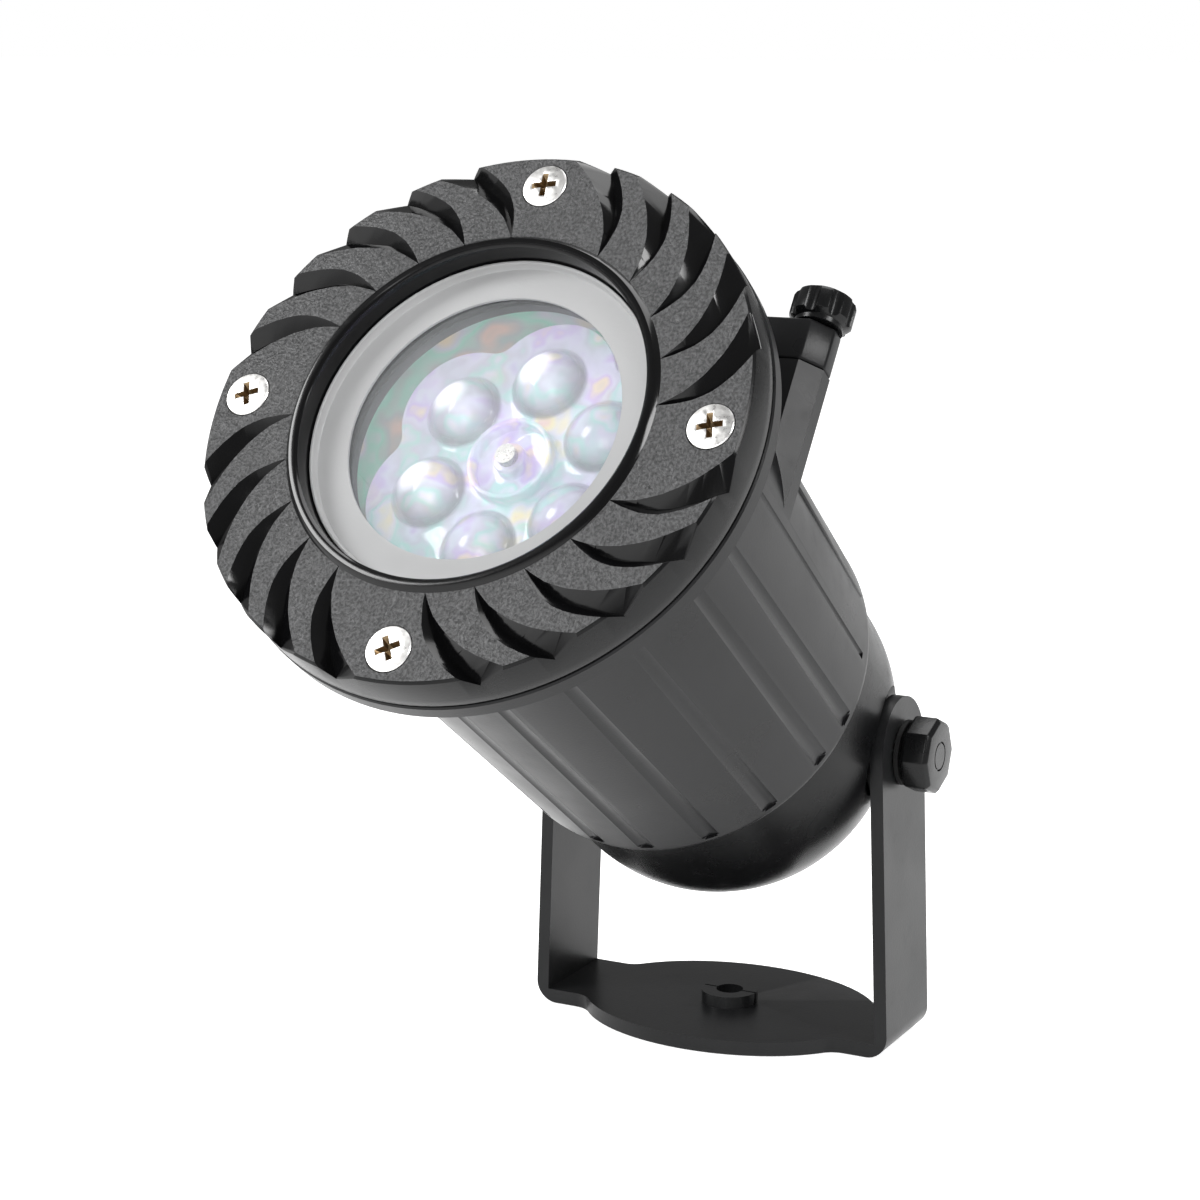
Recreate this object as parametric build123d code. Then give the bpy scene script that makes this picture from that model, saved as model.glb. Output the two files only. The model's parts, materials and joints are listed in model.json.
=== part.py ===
from build123d import *
import os
from math import atan2, cos, degrees, radians, sin, sqrt, tan

# Colour pattern projector head on a U bracket.
# World frame: +Z up, origin on the underside of the base at the middle of its
# screw hole, +X along the tilt axis, front of the projector towards -Y.
# Head frame: origin at the tilt axis, X as in the world, Y the top of the head,
# Z forward along the optical axis. All sizes are in millimetres.

# ---- bracket ---------------------------------------------------------------
PIVOT_HEIGHT = 61.2
STRIP_WIDTH = 22.6
ARM_THICKNESS = 2.7
ARM_LEAN = 2.08
BASE_THICKNESS = 2.9
BASE_HALF_LENGTH = 32.0
BASE_HALF_DEPTH = 24.0
BASE_NECK_RADIUS = 5.0
BEND_RADIUS = 4.5
BOSS_RADIUS = 5.9
BOSS_HEIGHT = 2.55
BASE_BORE_RADIUS = 2.83
BOSS_SLIT = 0.6

# ---- head, front to back ---------------------------------------------------
REST_TILT = 36.6
FACE_Z = 132.7
BEZEL_RADIUS = 51.0
BEZEL_DEPTH = 9.0
LIP_RADIUS = 34.4
LIP_HEIGHT = 0.8
WINDOW_RADIUS = 32.2
GROOVE_PITCH = 15.0
GROOVES_PER_QUARTER = 5
GROOVE_START = 5.5
GROOVE_DEPTH = 1.8
FLANGE_RADIUS = 51.3
FLANGE_THICKNESS = 3.9
BARREL_FRONT_RADIUS = 42.1
BARREL_REAR_RADIUS = 39.1
BARREL_BORE_RADIUS = 36.6
BARREL_REAR_Z = 31.2
DOME_RADIUS = 36.5
DOME_CENTRE_Z = 9.3
DOME_WALL = 2.3
SPIGOT_LENGTH = 6.8
FLUTE_ANGLES = (11.5, 25.0, 44.3, 63.0, 82.3)
FLUTE_RADIUS = 2.0
FLUTE_DEPTH = 0.5
FLUTE_END_MARGIN = 2.0

# ---- window stack ----------------------------------------------------------
RING_RADIUS = 32.0
RING_STEP = 3.6
RING_FACE_DEPTH = 5.6
RING_SIGHT_RADIUS = 25.5
RING_WALL = 0.6
RING_LIP_RADIUS = 33.5
GLASS_RADIUS = 30.0
GLASS_THICKNESS = 3.0
GLASS_DEPTH = 6.2
GLASS_SEAL_THICKNESS = 1.0
LEDGE_RADIUS = 27.0

# ---- slide box across the top of the barrel ---------------------------------
BOX_HALF_WIDTH = 40.1
BOX_FRONT_Z = 91.5
BOX_REAR_Z = 82.0
BOX_BEVEL = 3.7
BOX_SPLIT_Y = 36.8
BOX_TOP_Y = 45.5
CAP_GAP = 0.3
CAP_WALL = 2.4
SLIDE_HALF_WIDTH = 25.0
SLIDE_TOP_Y = 42.0
SLIDE_BOTTOM_Y = -25.0
SLIDE_THICKNESS = 3.6
SLIDE_CLEARANCE = 0.3
GUIDE_WALL = 2.6
FILM_THICKNESS = 0.6

# ---- fasteners and knobs ----------------------------------------------------
BEZEL_SCREW_PITCH_RADIUS = 45.0
BEZEL_SCREW_HEAD_RADIUS = 4.18
BEZEL_SCREW_HEAD_HEIGHT = 2.3
BEZEL_SCREW_RADIUS = 2.0
BEZEL_SCREW_LENGTH = 11.5
SMALL_SCREW_RADIUS = 1.25
SMALL_SCREW_HEAD_RADIUS = 2.4
SMALL_SCREW_HEAD_HEIGHT = 1.6
THREAD_CLEARANCE = 0.05
RUNNING_CLEARANCE = 0.08
PIVOT_STUD_RADIUS = 2.5
PIVOT_INSERT_RADIUS = 4.2
PIVOT_PAD_CLEARANCE = 0.83
PIVOT_PAD_DROP = 2.1
PIVOT_PAD_RADIUS = 10.2
PIVOT_POCKET_DROP = 2.9
PIVOT_POCKET_RADIUS = 13.0
PIVOT_KNOB_RADIUS = 7.8
PIVOT_KNOB_LENGTH = 6.6
PIVOT_WASHER_RADIUS = 6.6
PIVOT_WASHER_THICKNESS = 0.9
CAP_KNOB_X = 36.0
CAP_KNOB_RADIUS = 5.9
CAP_KNOB_HEIGHT = 6.6
CAP_STUD_RADIUS = 1.5
CAP_INSERT_RADIUS = 2.4
CAP_STUD_DEPTH = 8.0
KNOB_FLUTES = 8
BODY_GAP = 0.4

# ---- light engine -----------------------------------------------------------
BULKHEAD_Z = 38.4
BULKHEAD_THICKNESS = 2.4
BULKHEAD_BORE_RADIUS = 25.0
DOME_SCREW_PITCH_RADIUS = 31.0
SINK_RADIUS = 35.6
SINK_BASE_Z = 56.0
SINK_BASE_THICKNESS = 4.0
SINK_FIN_THICKNESS = 1.8
SINK_FIN_PITCH = 6.0
SINK_SCREW_PITCH_RADIUS = 33.0
LED_BOARD_RADIUS = 28.0
LED_BOARD_THICKNESS = 1.6
BEAM_RADIUS = 14.0
BEAM_COUNT = 4
BEAM_APERTURE_RADIUS = 6.4
LED_HALF_SIZE = 2.5
LED_HEIGHT = 1.4
HOLDER_RADIUS = 30.0
HOLDER_WALL = 2.0
CONDENSER_RADIUS = 7.4
CONDENSER_EDGE = 1.6
CONDENSER_BULGE = 3.2

# ---- turning lens plate -----------------------------------------------------
MOTOR_RADIUS = 7.0
MOTOR_REAR_Z = 94.0
MOTOR_LENGTH = 12.0
BRACKET_THICKNESS = 2.5
BRACKET_ARM_WIDTH = 4.0
SHAFT_RADIUS = 1.5
DISC_REAR_Z = 111.5
DISC_THICKNESS = 2.0
LOBE_COUNT = 6
LOBE_PITCH_RADIUS = 16.5
LOBE_RADIUS = 12.4
LOBE_WAIST_RADIUS = 4.0
LENS_RADIUS = 7.2
LENS_BULGE = 3.8
LENS_START = 24.0
HUB_RADIUS = 8.0
HUB_WALL = 0.9
HUB_TOP_Z = 116.2
HUB_POST_RADIUS = 3.0
DISC_SCREW_HEAD_RADIUS = 1.9
DISC_SCREW_HEAD_HEIGHT = 1.5
DISC_SCREW_RADIUS = 0.9

# ---- driver and cable entry ---------------------------------------------------
BOARD_Z = 28.0
BOARD_HALF_LENGTH = 31.0
BOARD_HALF_WIDTH = 11.0
BOARD_THICKNESS = 1.6
PILLAR_RADIUS = 2.5
PILLAR_X = 28.0
GLAND_THREAD_RADIUS = 6.0
GLAND_HEX_RADIUS = 8.2
GLAND_HEX_LENGTH = 4.5
GLAND_LENGTH = 12.0
GLAND_SEAL_RADIUS = 4.4
CABLE_BORE_RADIUS = 3.1
GLAND_SEAT_RADIUS = 10.5
GLAND_SEAT_HEIGHT = 1.4

# ---- values worked out from the ones above ------------------------------------
SEAM_Z = FACE_Z - BEZEL_DEPTH
FLANGE_REAR_Z = SEAM_Z - FLANGE_THICKNESS
GLASS_FRONT_Z = FACE_Z - GLASS_DEPTH
GLASS_REAR_Z = GLASS_FRONT_Z - GLASS_THICKNESS
BOX_MID_Z = (BOX_FRONT_Z + BOX_REAR_Z) / 2
SLOT_DEPTH = SLIDE_THICKNESS + 2 * SLIDE_CLEARANCE
GUIDE_TOP_Y = 28.0
SINK_FRONT_Z = SINK_BASE_Z + SINK_BASE_THICKNESS
BOARD_FRONT_Z = SINK_FRONT_Z + LED_BOARD_THICKNESS
GUIDE_REAR_Z = BOX_MID_Z - SLOT_DEPTH / 2 - GUIDE_WALL
CONDENSER_Z = GUIDE_REAR_Z - CONDENSER_BULGE - CONDENSER_EDGE - 1.0
MOTOR_FRONT_Z = MOTOR_REAR_Z + MOTOR_LENGTH
DISC_FRONT_Z = DISC_REAR_Z + DISC_THICKNESS
DOME_BACK_Z = DOME_CENTRE_Z - DOME_RADIUS
GLAND_SEAT_Z = DOME_BACK_Z - GLAND_SEAT_HEIGHT
LOCKNUT_Z = DOME_BACK_Z + DOME_WALL + 1.6
PIVOT_PAD_X = DOME_RADIUS - PIVOT_PAD_DROP
PIVOT_POCKET_X = DOME_RADIUS - PIVOT_POCKET_DROP
PIVOT_ARM_X = PIVOT_PAD_X + PIVOT_PAD_CLEARANCE + ARM_THICKNESS
BRACKET_WIDTH = 2 * (PIVOT_ARM_X + PIVOT_HEIGHT * tan(radians(ARM_LEAN)))
KNOB_INNER_X = PIVOT_ARM_X + BODY_GAP + PIVOT_WASHER_THICKNESS

HEAD = Pos(0, 0, PIVOT_HEIGHT) * Rot(90 - REST_TILT, 0, 0)
BOTTOM = (Align.CENTER, Align.CENTER, Align.MIN)
TILT_AXIS = Rot(0, 90, 0)


def rod(radius, start, end):
    """Round bar along the local Z axis from start to end."""
    return Pos(0, 0, start) * Cylinder(radius, end - start, align=BOTTOM)


def tube(outer, inner, start, end):
    return rod(outer, start, end) - rod(inner, start, end)


def block(x_range, y_range, z_range):
    size = [high - low for low, high in (x_range, y_range, z_range)]
    centre = [(high + low) / 2 for low, high in (x_range, y_range, z_range)]
    return Pos(*centre) * Box(*size)


def ring_of(count, radius, shape, start=0.0):
    """Copies of a shape, evenly spaced on a circle about the local Z axis."""
    turns = [start + 360 * i / count for i in range(count)]
    return [Rot(0, 0, turn) * Pos(radius, 0, 0) * shape for turn in turns]


def group(shapes):
    """Separate solids kept in one node."""
    solids = [solid for shape in shapes for solid in shape.solids()]
    return Compound(children=solids)


def turned(points):
    """Solid of revolution about Z from (radius, height) points."""
    outline = Polyline(*[(r, 0, z) for r, z in points], close=True)
    return revolve(make_face(outline), Axis.Z)


def screw(radius, length, head_radius, head_height):
    """Pan-head screw with its head's underside at zero, shank towards -Z."""
    return rod(radius, -length, 0) + rod(head_radius, 0, head_height)


def fluted_knob(radius, length, flute_radius, edge_radius):
    """Moulded hand knob standing on the XY plane."""
    body = rod(radius, 0, length)
    body = fillet(body.edges().group_by(Axis.Z)[-1], edge_radius)
    flute = rod(flute_radius, -1, length + 1)
    offset = radius + flute_radius * 0.62
    for cutter in ring_of(KNOB_FLUTES, offset, flute):
        body -= cutter
    return body


def on_side(side):
    """Placement on the tilt axis, local Z pointing outwards on that side."""
    return Rot(0, 90 * side, 0)


# ---- bracket ------------------------------------------------------------------
def yoke_bracket():
    half = BRACKET_WIDTH / 2
    top = PIVOT_HEIGHT + STRIP_WIDTH / 2
    shift = top * tan(radians(ARM_LEAN))
    outer = [(-half + shift, top), (-half, 0), (half, 0), (half - shift, top)]
    inner_half = half - ARM_THICKNESS
    floor_shift = BASE_THICKNESS * tan(radians(ARM_LEAN))
    inner = [
        (inner_half - shift, top),
        (inner_half - floor_shift, BASE_THICKNESS),
        (-inner_half + floor_shift, BASE_THICKNESS),
        (-inner_half + shift, top),
    ]
    outline = Polyline(*[(x, 0, z) for x, z in outer + inner], close=True)
    strip = extrude(make_face(outline), STRIP_WIDTH / 2, dir=(0, 1, 0), both=True)
    bends = strip.edges().filter_by(Axis.Y).group_by(Axis.Z)[0]
    strip = fillet(bends, BEND_RADIUS)
    arm_end = TILT_AXIS * Cylinder(STRIP_WIDTH / 2, BRACKET_WIDTH + 2)
    arm_end = Pos(0, 0, PIVOT_HEIGHT) * arm_end
    below = block((-half - 1, half + 1), (-STRIP_WIDTH, STRIP_WIDTH), (-1, PIVOT_HEIGHT))
    strip &= below + arm_end
    plan = Rectangle(BRACKET_WIDTH - 2 * BEND_RADIUS, STRIP_WIDTH) + Ellipse(BASE_HALF_LENGTH, BASE_HALF_DEPTH)
    corners = plan.vertices().sort_by_distance((0, 0, 0))[:4]
    plan = fillet(corners, BASE_NECK_RADIUS)
    body = strip + extrude(plan, BASE_THICKNESS)
    body += rod(BOSS_RADIUS, 0, BASE_THICKNESS + BOSS_HEIGHT)
    body -= rod(BASE_BORE_RADIUS, -1, BASE_THICKNESS + BOSS_HEIGHT + 1)
    slit_top = BASE_THICKNESS + BOSS_HEIGHT + 1
    slit = (-BOSS_RADIUS - 1, BOSS_RADIUS + 1), (-BOSS_SLIT / 2, BOSS_SLIT / 2)
    body -= block(*slit, (BASE_THICKNESS, slit_top))
    hole = TILT_AXIS * Cylinder(PIVOT_STUD_RADIUS + RUNNING_CLEARANCE, BRACKET_WIDTH + 2)
    return body - Pos(0, 0, PIVOT_HEIGHT) * hole


# ---- outer shells of the head ---------------------------------------------------
def polar(radius, angle):
    return radius * cos(radians(angle)), radius * sin(radians(angle))


def bezel_groove(start):
    """Leaf-shaped cut that widens and leans sideways towards the rim."""
    tip = polar(LIP_RADIUS + 0.2, start)
    reach = BEZEL_RADIUS + 1.5
    leading = ThreePointArc(tip, polar(43.2, start + 8.9), polar(reach, start + 20.8))
    trailing = ThreePointArc(tip, polar(43.4, start + 2.6), polar(reach, start + 11.6))
    rim = Line(leading @ 1, trailing @ 1)
    leaf = make_face([leading, rim, trailing])
    return Pos(0, 0, FACE_Z - GROOVE_DEPTH) * extrude(leaf, GROOVE_DEPTH + LIP_HEIGHT)


def screw_places(shape, start=0.0):
    return ring_of(4, BEZEL_SCREW_PITCH_RADIUS, shape, start)


def front_bezel():
    body = turned([
        (WINDOW_RADIUS, FACE_Z + LIP_HEIGHT * 0.4),
        (WINDOW_RADIUS + 0.7, FACE_Z + LIP_HEIGHT),
        (LIP_RADIUS - 0.5, FACE_Z + LIP_HEIGHT),
        (LIP_RADIUS, FACE_Z),
        (BEZEL_RADIUS, FACE_Z),
        (BEZEL_RADIUS, SEAM_Z),
        (RING_LIP_RADIUS + 0.2, SEAM_Z),
        (RING_LIP_RADIUS + 0.2, GLASS_FRONT_Z - 0.8),
        (WINDOW_RADIUS, GLASS_FRONT_Z - 0.8),
    ])
    for quarter in range(4):
        for i in range(GROOVES_PER_QUARTER):
            body -= bezel_groove(90 * quarter + GROOVE_START + GROOVE_PITCH * i)
    hole = rod(BEZEL_SCREW_RADIUS + 0.15, SEAM_Z - 1, FACE_Z)
    sink = Pos(0, 0, FACE_Z - BEZEL_SCREW_HEAD_HEIGHT) * Cone(
        BEZEL_SCREW_RADIUS + 0.15,
        BEZEL_SCREW_HEAD_RADIUS + 0.15,
        BEZEL_SCREW_HEAD_HEIGHT,
        align=BOTTOM,
    )
    for cutter in screw_places(hole + sink):
        body -= cutter
    return body


def bezel_screws():
    head = Pos(0, 0, FACE_Z - BEZEL_SCREW_HEAD_HEIGHT) * Cone(
        BEZEL_SCREW_RADIUS,
        BEZEL_SCREW_HEAD_RADIUS,
        BEZEL_SCREW_HEAD_HEIGHT,
        align=BOTTOM,
    )
    shank = rod(BEZEL_SCREW_RADIUS, FACE_Z - BEZEL_SCREW_LENGTH, FACE_Z - 1)
    body = head + shank
    for turn in (45, 135):
        bar = Box(BEZEL_SCREW_HEAD_RADIUS, 1.1, 2 * BEZEL_SCREW_HEAD_HEIGHT * 0.6)
        body -= Pos(0, 0, FACE_Z) * Rot(0, 0, turn) * bar
    return group(screw_places(body))


def glass_ring():
    """Pale ring that holds the window and closes the front recess."""
    top = FACE_Z - RING_STEP
    face = FACE_Z - RING_FACE_DEPTH
    return turned([
        (RING_SIGHT_RADIUS, face),
        (RING_RADIUS - RING_WALL, face),
        (RING_RADIUS - RING_WALL, top),
        (RING_RADIUS, top),
        (RING_RADIUS, GLASS_FRONT_Z - 0.8),
        (RING_LIP_RADIUS, GLASS_FRONT_Z - 0.8),
        (RING_LIP_RADIUS, SEAM_Z),
        (GLASS_RADIUS + 0.2, SEAM_Z),
        (GLASS_RADIUS + 0.2, GLASS_FRONT_Z),
        (RING_SIGHT_RADIUS, GLASS_FRONT_Z),
    ])


def front_glass():
    return rod(GLASS_RADIUS, GLASS_REAR_Z, GLASS_FRONT_Z)


def glass_seal():
    return tube(GLASS_RADIUS - 0.5, LEDGE_RADIUS + 0.5, GLASS_REAR_Z - GLASS_SEAL_THICKNESS, GLASS_REAR_Z)


def bezel_seal():
    return tube(38.5, 36.5, SEAM_Z - 1.2, SEAM_Z)


def box_plan(gap=0.0):
    """Bevelled outline of the slide box, seen along the head's Y axis."""
    half = BOX_HALF_WIDTH - gap
    front = BOX_FRONT_Z - gap
    rear = BOX_REAR_Z + gap
    quarter = [(half - BOX_BEVEL, front), (half, front - BOX_BEVEL)]
    back = [(half, rear + 2.4), (half - 2.4, rear)]
    right = quarter + back
    left = [(-x, z) for x, z in reversed(right)]
    return Polyline(*[(x, 0, z) for x, z in right + left], close=True)


def box_solid(low_y, high_y, gap=0.0):
    face = make_face(box_plan(gap))
    return Pos(0, low_y, 0) * extrude(face, high_y - low_y, dir=(0, 1, 0))


def barrel_flute(angle):
    """Shallow groove that follows the barrel's taper; angle is from the left."""
    length = FLANGE_REAR_Z - BARREL_REAR_Z
    taper = atan2(BARREL_FRONT_RADIUS - BARREL_REAR_RADIUS, length)
    reach = BARREL_REAR_RADIUS + FLUTE_RADIUS - FLUTE_DEPTH
    cutter = Rot(0, degrees(taper), 0) * rod(FLUTE_RADIUS, FLUTE_END_MARGIN, length - 1.0)
    return Rot(0, 0, angle) * Pos(reach, 0, BARREL_REAR_Z) * cutter


def barrel_housing():
    length = FLANGE_REAR_Z - BARREL_REAR_Z
    body = Pos(0, 0, BARREL_REAR_Z) * Cone(
        BARREL_REAR_RADIUS, BARREL_FRONT_RADIUS, length, align=BOTTOM
    )
    for angle in FLUTE_ANGLES:
        body -= barrel_flute(-angle)
        body -= barrel_flute(angle - 180)
    body += rod(FLANGE_RADIUS, FLANGE_REAR_Z, SEAM_Z)
    body += box_solid(0, BOX_SPLIT_Y)
    body -= box_solid(BOX_SPLIT_Y, BARREL_FRONT_RADIUS + 1, -CAP_GAP)
    body -= rod(BARREL_BORE_RADIUS, BARREL_REAR_Z - 1, FLANGE_REAR_Z)
    body += tube(BARREL_BORE_RADIUS + 0.5, BULKHEAD_BORE_RADIUS, BULKHEAD_Z, BULKHEAD_Z + BULKHEAD_THICKNESS)
    for angle in (0, 180):
        rib = block((31, 37.5), (-4, 4), (BOX_REAR_Z, MOTOR_REAR_Z))
        body += Rot(0, 0, angle) * rib
    seat = rod(GLASS_RADIUS + 0.3, GLASS_REAR_Z - GLASS_SEAL_THICKNESS, SEAM_Z + 1)
    body -= seat + rod(LEDGE_RADIUS, FLANGE_REAR_Z - 1, SEAM_Z + 1)
    body -= tube(38.5, 36.5, SEAM_Z - 1.2, SEAM_Z + 1)
    pilot = rod(BEZEL_SCREW_RADIUS + THREAD_CLEARANCE, FACE_Z - BEZEL_SCREW_LENGTH - 0.3, SEAM_Z + 1)
    for cutter in screw_places(pilot):
        body -= cutter
    half = SLIDE_HALF_WIDTH + SLIDE_CLEARANCE
    slot_z = (BOX_MID_Z - SLOT_DEPTH / 2, BOX_MID_Z + SLOT_DEPTH / 2)
    body -= block((-half, half), (0, BOX_SPLIT_Y + 1), slot_z)
    for side in (-1, 1):
        insert = insert_blank(side, 0.0)
        body -= insert
    for hole in dome_screw_places(SMALL_SCREW_RADIUS + 0.15, BULKHEAD_Z - 1, BULKHEAD_Z + 4):
        body -= hole
    for hole in ring_of(2, SINK_SCREW_PITCH_RADIUS, bracket_screw_hole()):
        body -= hole
    for hole in ring_of(2, PILLAR_X, rod(SMALL_SCREW_RADIUS + 0.15, BULKHEAD_Z - 1, BULKHEAD_Z + 4)):
        body -= hole
    for rib_block in sink_lugs():
        body += rib_block
    return body


def dome_screw_places(radius, low, high):
    return ring_of(3, DOME_SCREW_PITCH_RADIUS, rod(radius, low, high), 90)


def bracket_screw_hole():
    low = MOTOR_REAR_Z - 6.5
    return rod(SMALL_SCREW_RADIUS + THREAD_CLEARANCE, low, MOTOR_REAR_Z + 1)


def sink_lugs():
    """Ledges inside the barrel that the heat sink is screwed to."""
    lug = block((-1.5, 4.2), (-3.2, 3.2), (SINK_BASE_Z - 8, SINK_BASE_Z))
    lug -= rod(SMALL_SCREW_RADIUS + THREAD_CLEARANCE, SINK_BASE_Z - 6, SINK_BASE_Z + 1)
    return ring_of(2, SINK_SCREW_PITCH_RADIUS, lug, 90)


def insert_blank(side, bore):
    """Threaded insert for a cap screw, upright in the slide box."""
    low = BOX_SPLIT_Y - CAP_STUD_DEPTH - 1
    place = Pos(side * CAP_KNOB_X, low, BOX_MID_Z) * Rot(-90, 0, 0)
    body = rod(CAP_INSERT_RADIUS, 0, CAP_STUD_DEPTH + 1)
    if bore:
        body -= rod(bore, -1, CAP_STUD_DEPTH + 2)
    return place * body


def cap_inserts():
    bore = CAP_STUD_RADIUS + THREAD_CLEARANCE
    return group([insert_blank(side, bore) for side in (-1, 1)])


def rear_dome():
    outer = Pos(0, 0, DOME_CENTRE_Z) * Sphere(DOME_RADIUS)
    outer &= rod(DOME_RADIUS + 1, DOME_BACK_Z - 1, DOME_CENTRE_Z)
    outer += rod(DOME_RADIUS, DOME_CENTRE_Z, BARREL_REAR_Z)
    spigot_end = BARREL_REAR_Z + SPIGOT_LENGTH
    outer += rod(BARREL_BORE_RADIUS - 0.1, BARREL_REAR_Z, spigot_end)
    outer += rod(GLAND_SEAT_RADIUS, GLAND_SEAT_Z, DOME_BACK_Z + DOME_WALL)
    for side in (-1, 1):
        shell = rod(PIVOT_POCKET_RADIUS, PIVOT_POCKET_X, DOME_RADIUS + 2)
        pad_height = PIVOT_PAD_X - PIVOT_POCKET_X + 2
        pad = extrude(RegularPolygon(PIVOT_PAD_RADIUS, 8), pad_height)
        outer -= on_side(side) * shell
        outer += on_side(side) * Pos(0, 0, PIVOT_PAD_X - pad_height) * pad
    inner_radius = DOME_RADIUS - DOME_WALL
    inner = Pos(0, 0, DOME_CENTRE_Z) * Sphere(inner_radius)
    inner += rod(inner_radius, DOME_CENTRE_Z, spigot_end + 1)
    for side in (-1, 1):
        inner -= on_side(side) * rod(PIVOT_INSERT_RADIUS + 2.5, 24, DOME_RADIUS)
    for boss in dome_screw_places(3.6, BARREL_REAR_Z - 6, spigot_end):
        inner -= boss
    inner -= rod(GLAND_SEAT_RADIUS, DOME_BACK_Z, LOCKNUT_Z)
    body = outer - inner
    body -= tube(BARREL_BORE_RADIUS + 1, BARREL_BORE_RADIUS - 1.1, BARREL_REAR_Z + 2, BARREL_REAR_Z + 3.6)
    body -= rod(GLAND_THREAD_RADIUS + 0.1, GLAND_SEAT_Z - 1, LOCKNUT_Z + 1)
    for pilot in dome_screw_places(SMALL_SCREW_RADIUS + THREAD_CLEARANCE, BARREL_REAR_Z - 2, BULKHEAD_Z):
        body -= pilot
    for side in (-1, 1):
        body -= on_side(side) * rod(PIVOT_INSERT_RADIUS, 25, PIVOT_PAD_X + 1)
    return body


def dome_seal():
    return tube(BARREL_BORE_RADIUS, BARREL_BORE_RADIUS - 1.1, BARREL_REAR_Z + 2, BARREL_REAR_Z + 3.6)


def dome_screws():
    length = BULKHEAD_THICKNESS + 7.0
    head_z = BULKHEAD_Z + BULKHEAD_THICKNESS
    body = Pos(0, 0, head_z) * screw(
        SMALL_SCREW_RADIUS, length, SMALL_SCREW_HEAD_RADIUS, SMALL_SCREW_HEAD_HEIGHT
    )
    return group(ring_of(3, DOME_SCREW_PITCH_RADIUS, body, 90))


def pivot_inserts():
    body = tube(PIVOT_INSERT_RADIUS, PIVOT_STUD_RADIUS + THREAD_CLEARANCE, 25, PIVOT_PAD_X)
    return group([on_side(side) * body for side in (-1, 1)])


# ---- tilt knobs -----------------------------------------------------------------
def pivot_knob(side):
    body = fluted_knob(PIVOT_KNOB_RADIUS, PIVOT_KNOB_LENGTH, 1.5, 1.4)
    body -= rod(PIVOT_STUD_RADIUS, -1, PIVOT_KNOB_LENGTH - 2.5)
    return on_side(side) * Pos(0, 0, KNOB_INNER_X) * body


def pivot_stud(side):
    return on_side(side) * rod(PIVOT_STUD_RADIUS, 27, KNOB_INNER_X + PIVOT_KNOB_LENGTH - 2.5)


def pivot_washer(side):
    start = KNOB_INNER_X - PIVOT_WASHER_THICKNESS
    return on_side(side) * tube(PIVOT_WASHER_RADIUS, PIVOT_STUD_RADIUS, start, KNOB_INNER_X)


# ---- slide carrier ----------------------------------------------------------------
def upright(x):
    """Placement on the box's middle plane, local Z towards the head's top."""
    return Pos(x, 0, BOX_MID_Z) * Rot(-90, 0, 0)


def slide_cap():
    body = box_solid(BOX_SPLIT_Y + CAP_GAP, BOX_TOP_Y)
    half = SLIDE_HALF_WIDTH + 2.0
    depth = SLIDE_THICKNESS / 2 + 0.6
    z_range = (BOX_MID_Z - depth, BOX_MID_Z + depth)
    body -= block((-half, half), (BOX_SPLIT_Y, SLIDE_TOP_Y), z_range)
    seal_half = half + CAP_WALL
    z_seal = (z_range[0] - 1.0, z_range[1] + 1.0)
    body -= block((-seal_half, seal_half), (BOX_SPLIT_Y, BOX_SPLIT_Y + 1.2), z_seal)
    for side in (-1, 1):
        hole = rod(CAP_STUD_RADIUS + RUNNING_CLEARANCE, BOX_SPLIT_Y - 1, BOX_TOP_Y + 1)
        body -= upright(side * CAP_KNOB_X) * hole
    return body


def cap_seal():
    half = SLIDE_HALF_WIDTH + 2.0
    depth = SLIDE_THICKNESS / 2 + 0.6
    low = BOX_SPLIT_Y + CAP_GAP
    outer = block(
        (-half - CAP_WALL, half + CAP_WALL),
        (low, BOX_SPLIT_Y + 1.2),
        (BOX_MID_Z - depth - 1.0, BOX_MID_Z + depth + 1.0),
    )
    z_range = (BOX_MID_Z - depth, BOX_MID_Z + depth)
    return outer - block((-half, half), (low - 1, BOX_SPLIT_Y + 2), z_range)


def beam_places(shape):
    return ring_of(BEAM_COUNT, BEAM_RADIUS, shape, 45)


def slide_frame():
    half = SLIDE_THICKNESS / 2
    width = (-SLIDE_HALF_WIDTH, SLIDE_HALF_WIDTH)
    height = (SLIDE_BOTTOM_Y, SLIDE_TOP_Y)
    body = block(width, height, (BOX_MID_Z - half, BOX_MID_Z + half))
    film = FILM_THICKNESS / 2 + 0.02
    body -= film_blank(film)
    for window in beam_places(rod(BEAM_APERTURE_RADIUS, BOX_MID_Z - 5, BOX_MID_Z + 5)):
        body -= window
    return body


def film_blank(half_thickness):
    reach = BEAM_RADIUS + BEAM_APERTURE_RADIUS - 1.0
    span = (-reach, reach)
    return block(span, span, (BOX_MID_Z - half_thickness, BOX_MID_Z + half_thickness))


def slide_film():
    return film_blank(FILM_THICKNESS / 2)


def cap_knob(side):
    body = fluted_knob(CAP_KNOB_RADIUS, CAP_KNOB_HEIGHT, 1.3, 1.0)
    body -= rod(CAP_STUD_RADIUS, -1, CAP_KNOB_HEIGHT - 2)
    return upright(side * CAP_KNOB_X) * Pos(0, 0, BOX_TOP_Y + BODY_GAP) * body


def cap_stud(side):
    top = BOX_TOP_Y + BODY_GAP + CAP_KNOB_HEIGHT - 2
    return upright(side * CAP_KNOB_X) * rod(CAP_STUD_RADIUS, BOX_SPLIT_Y - CAP_STUD_DEPTH, top)


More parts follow.
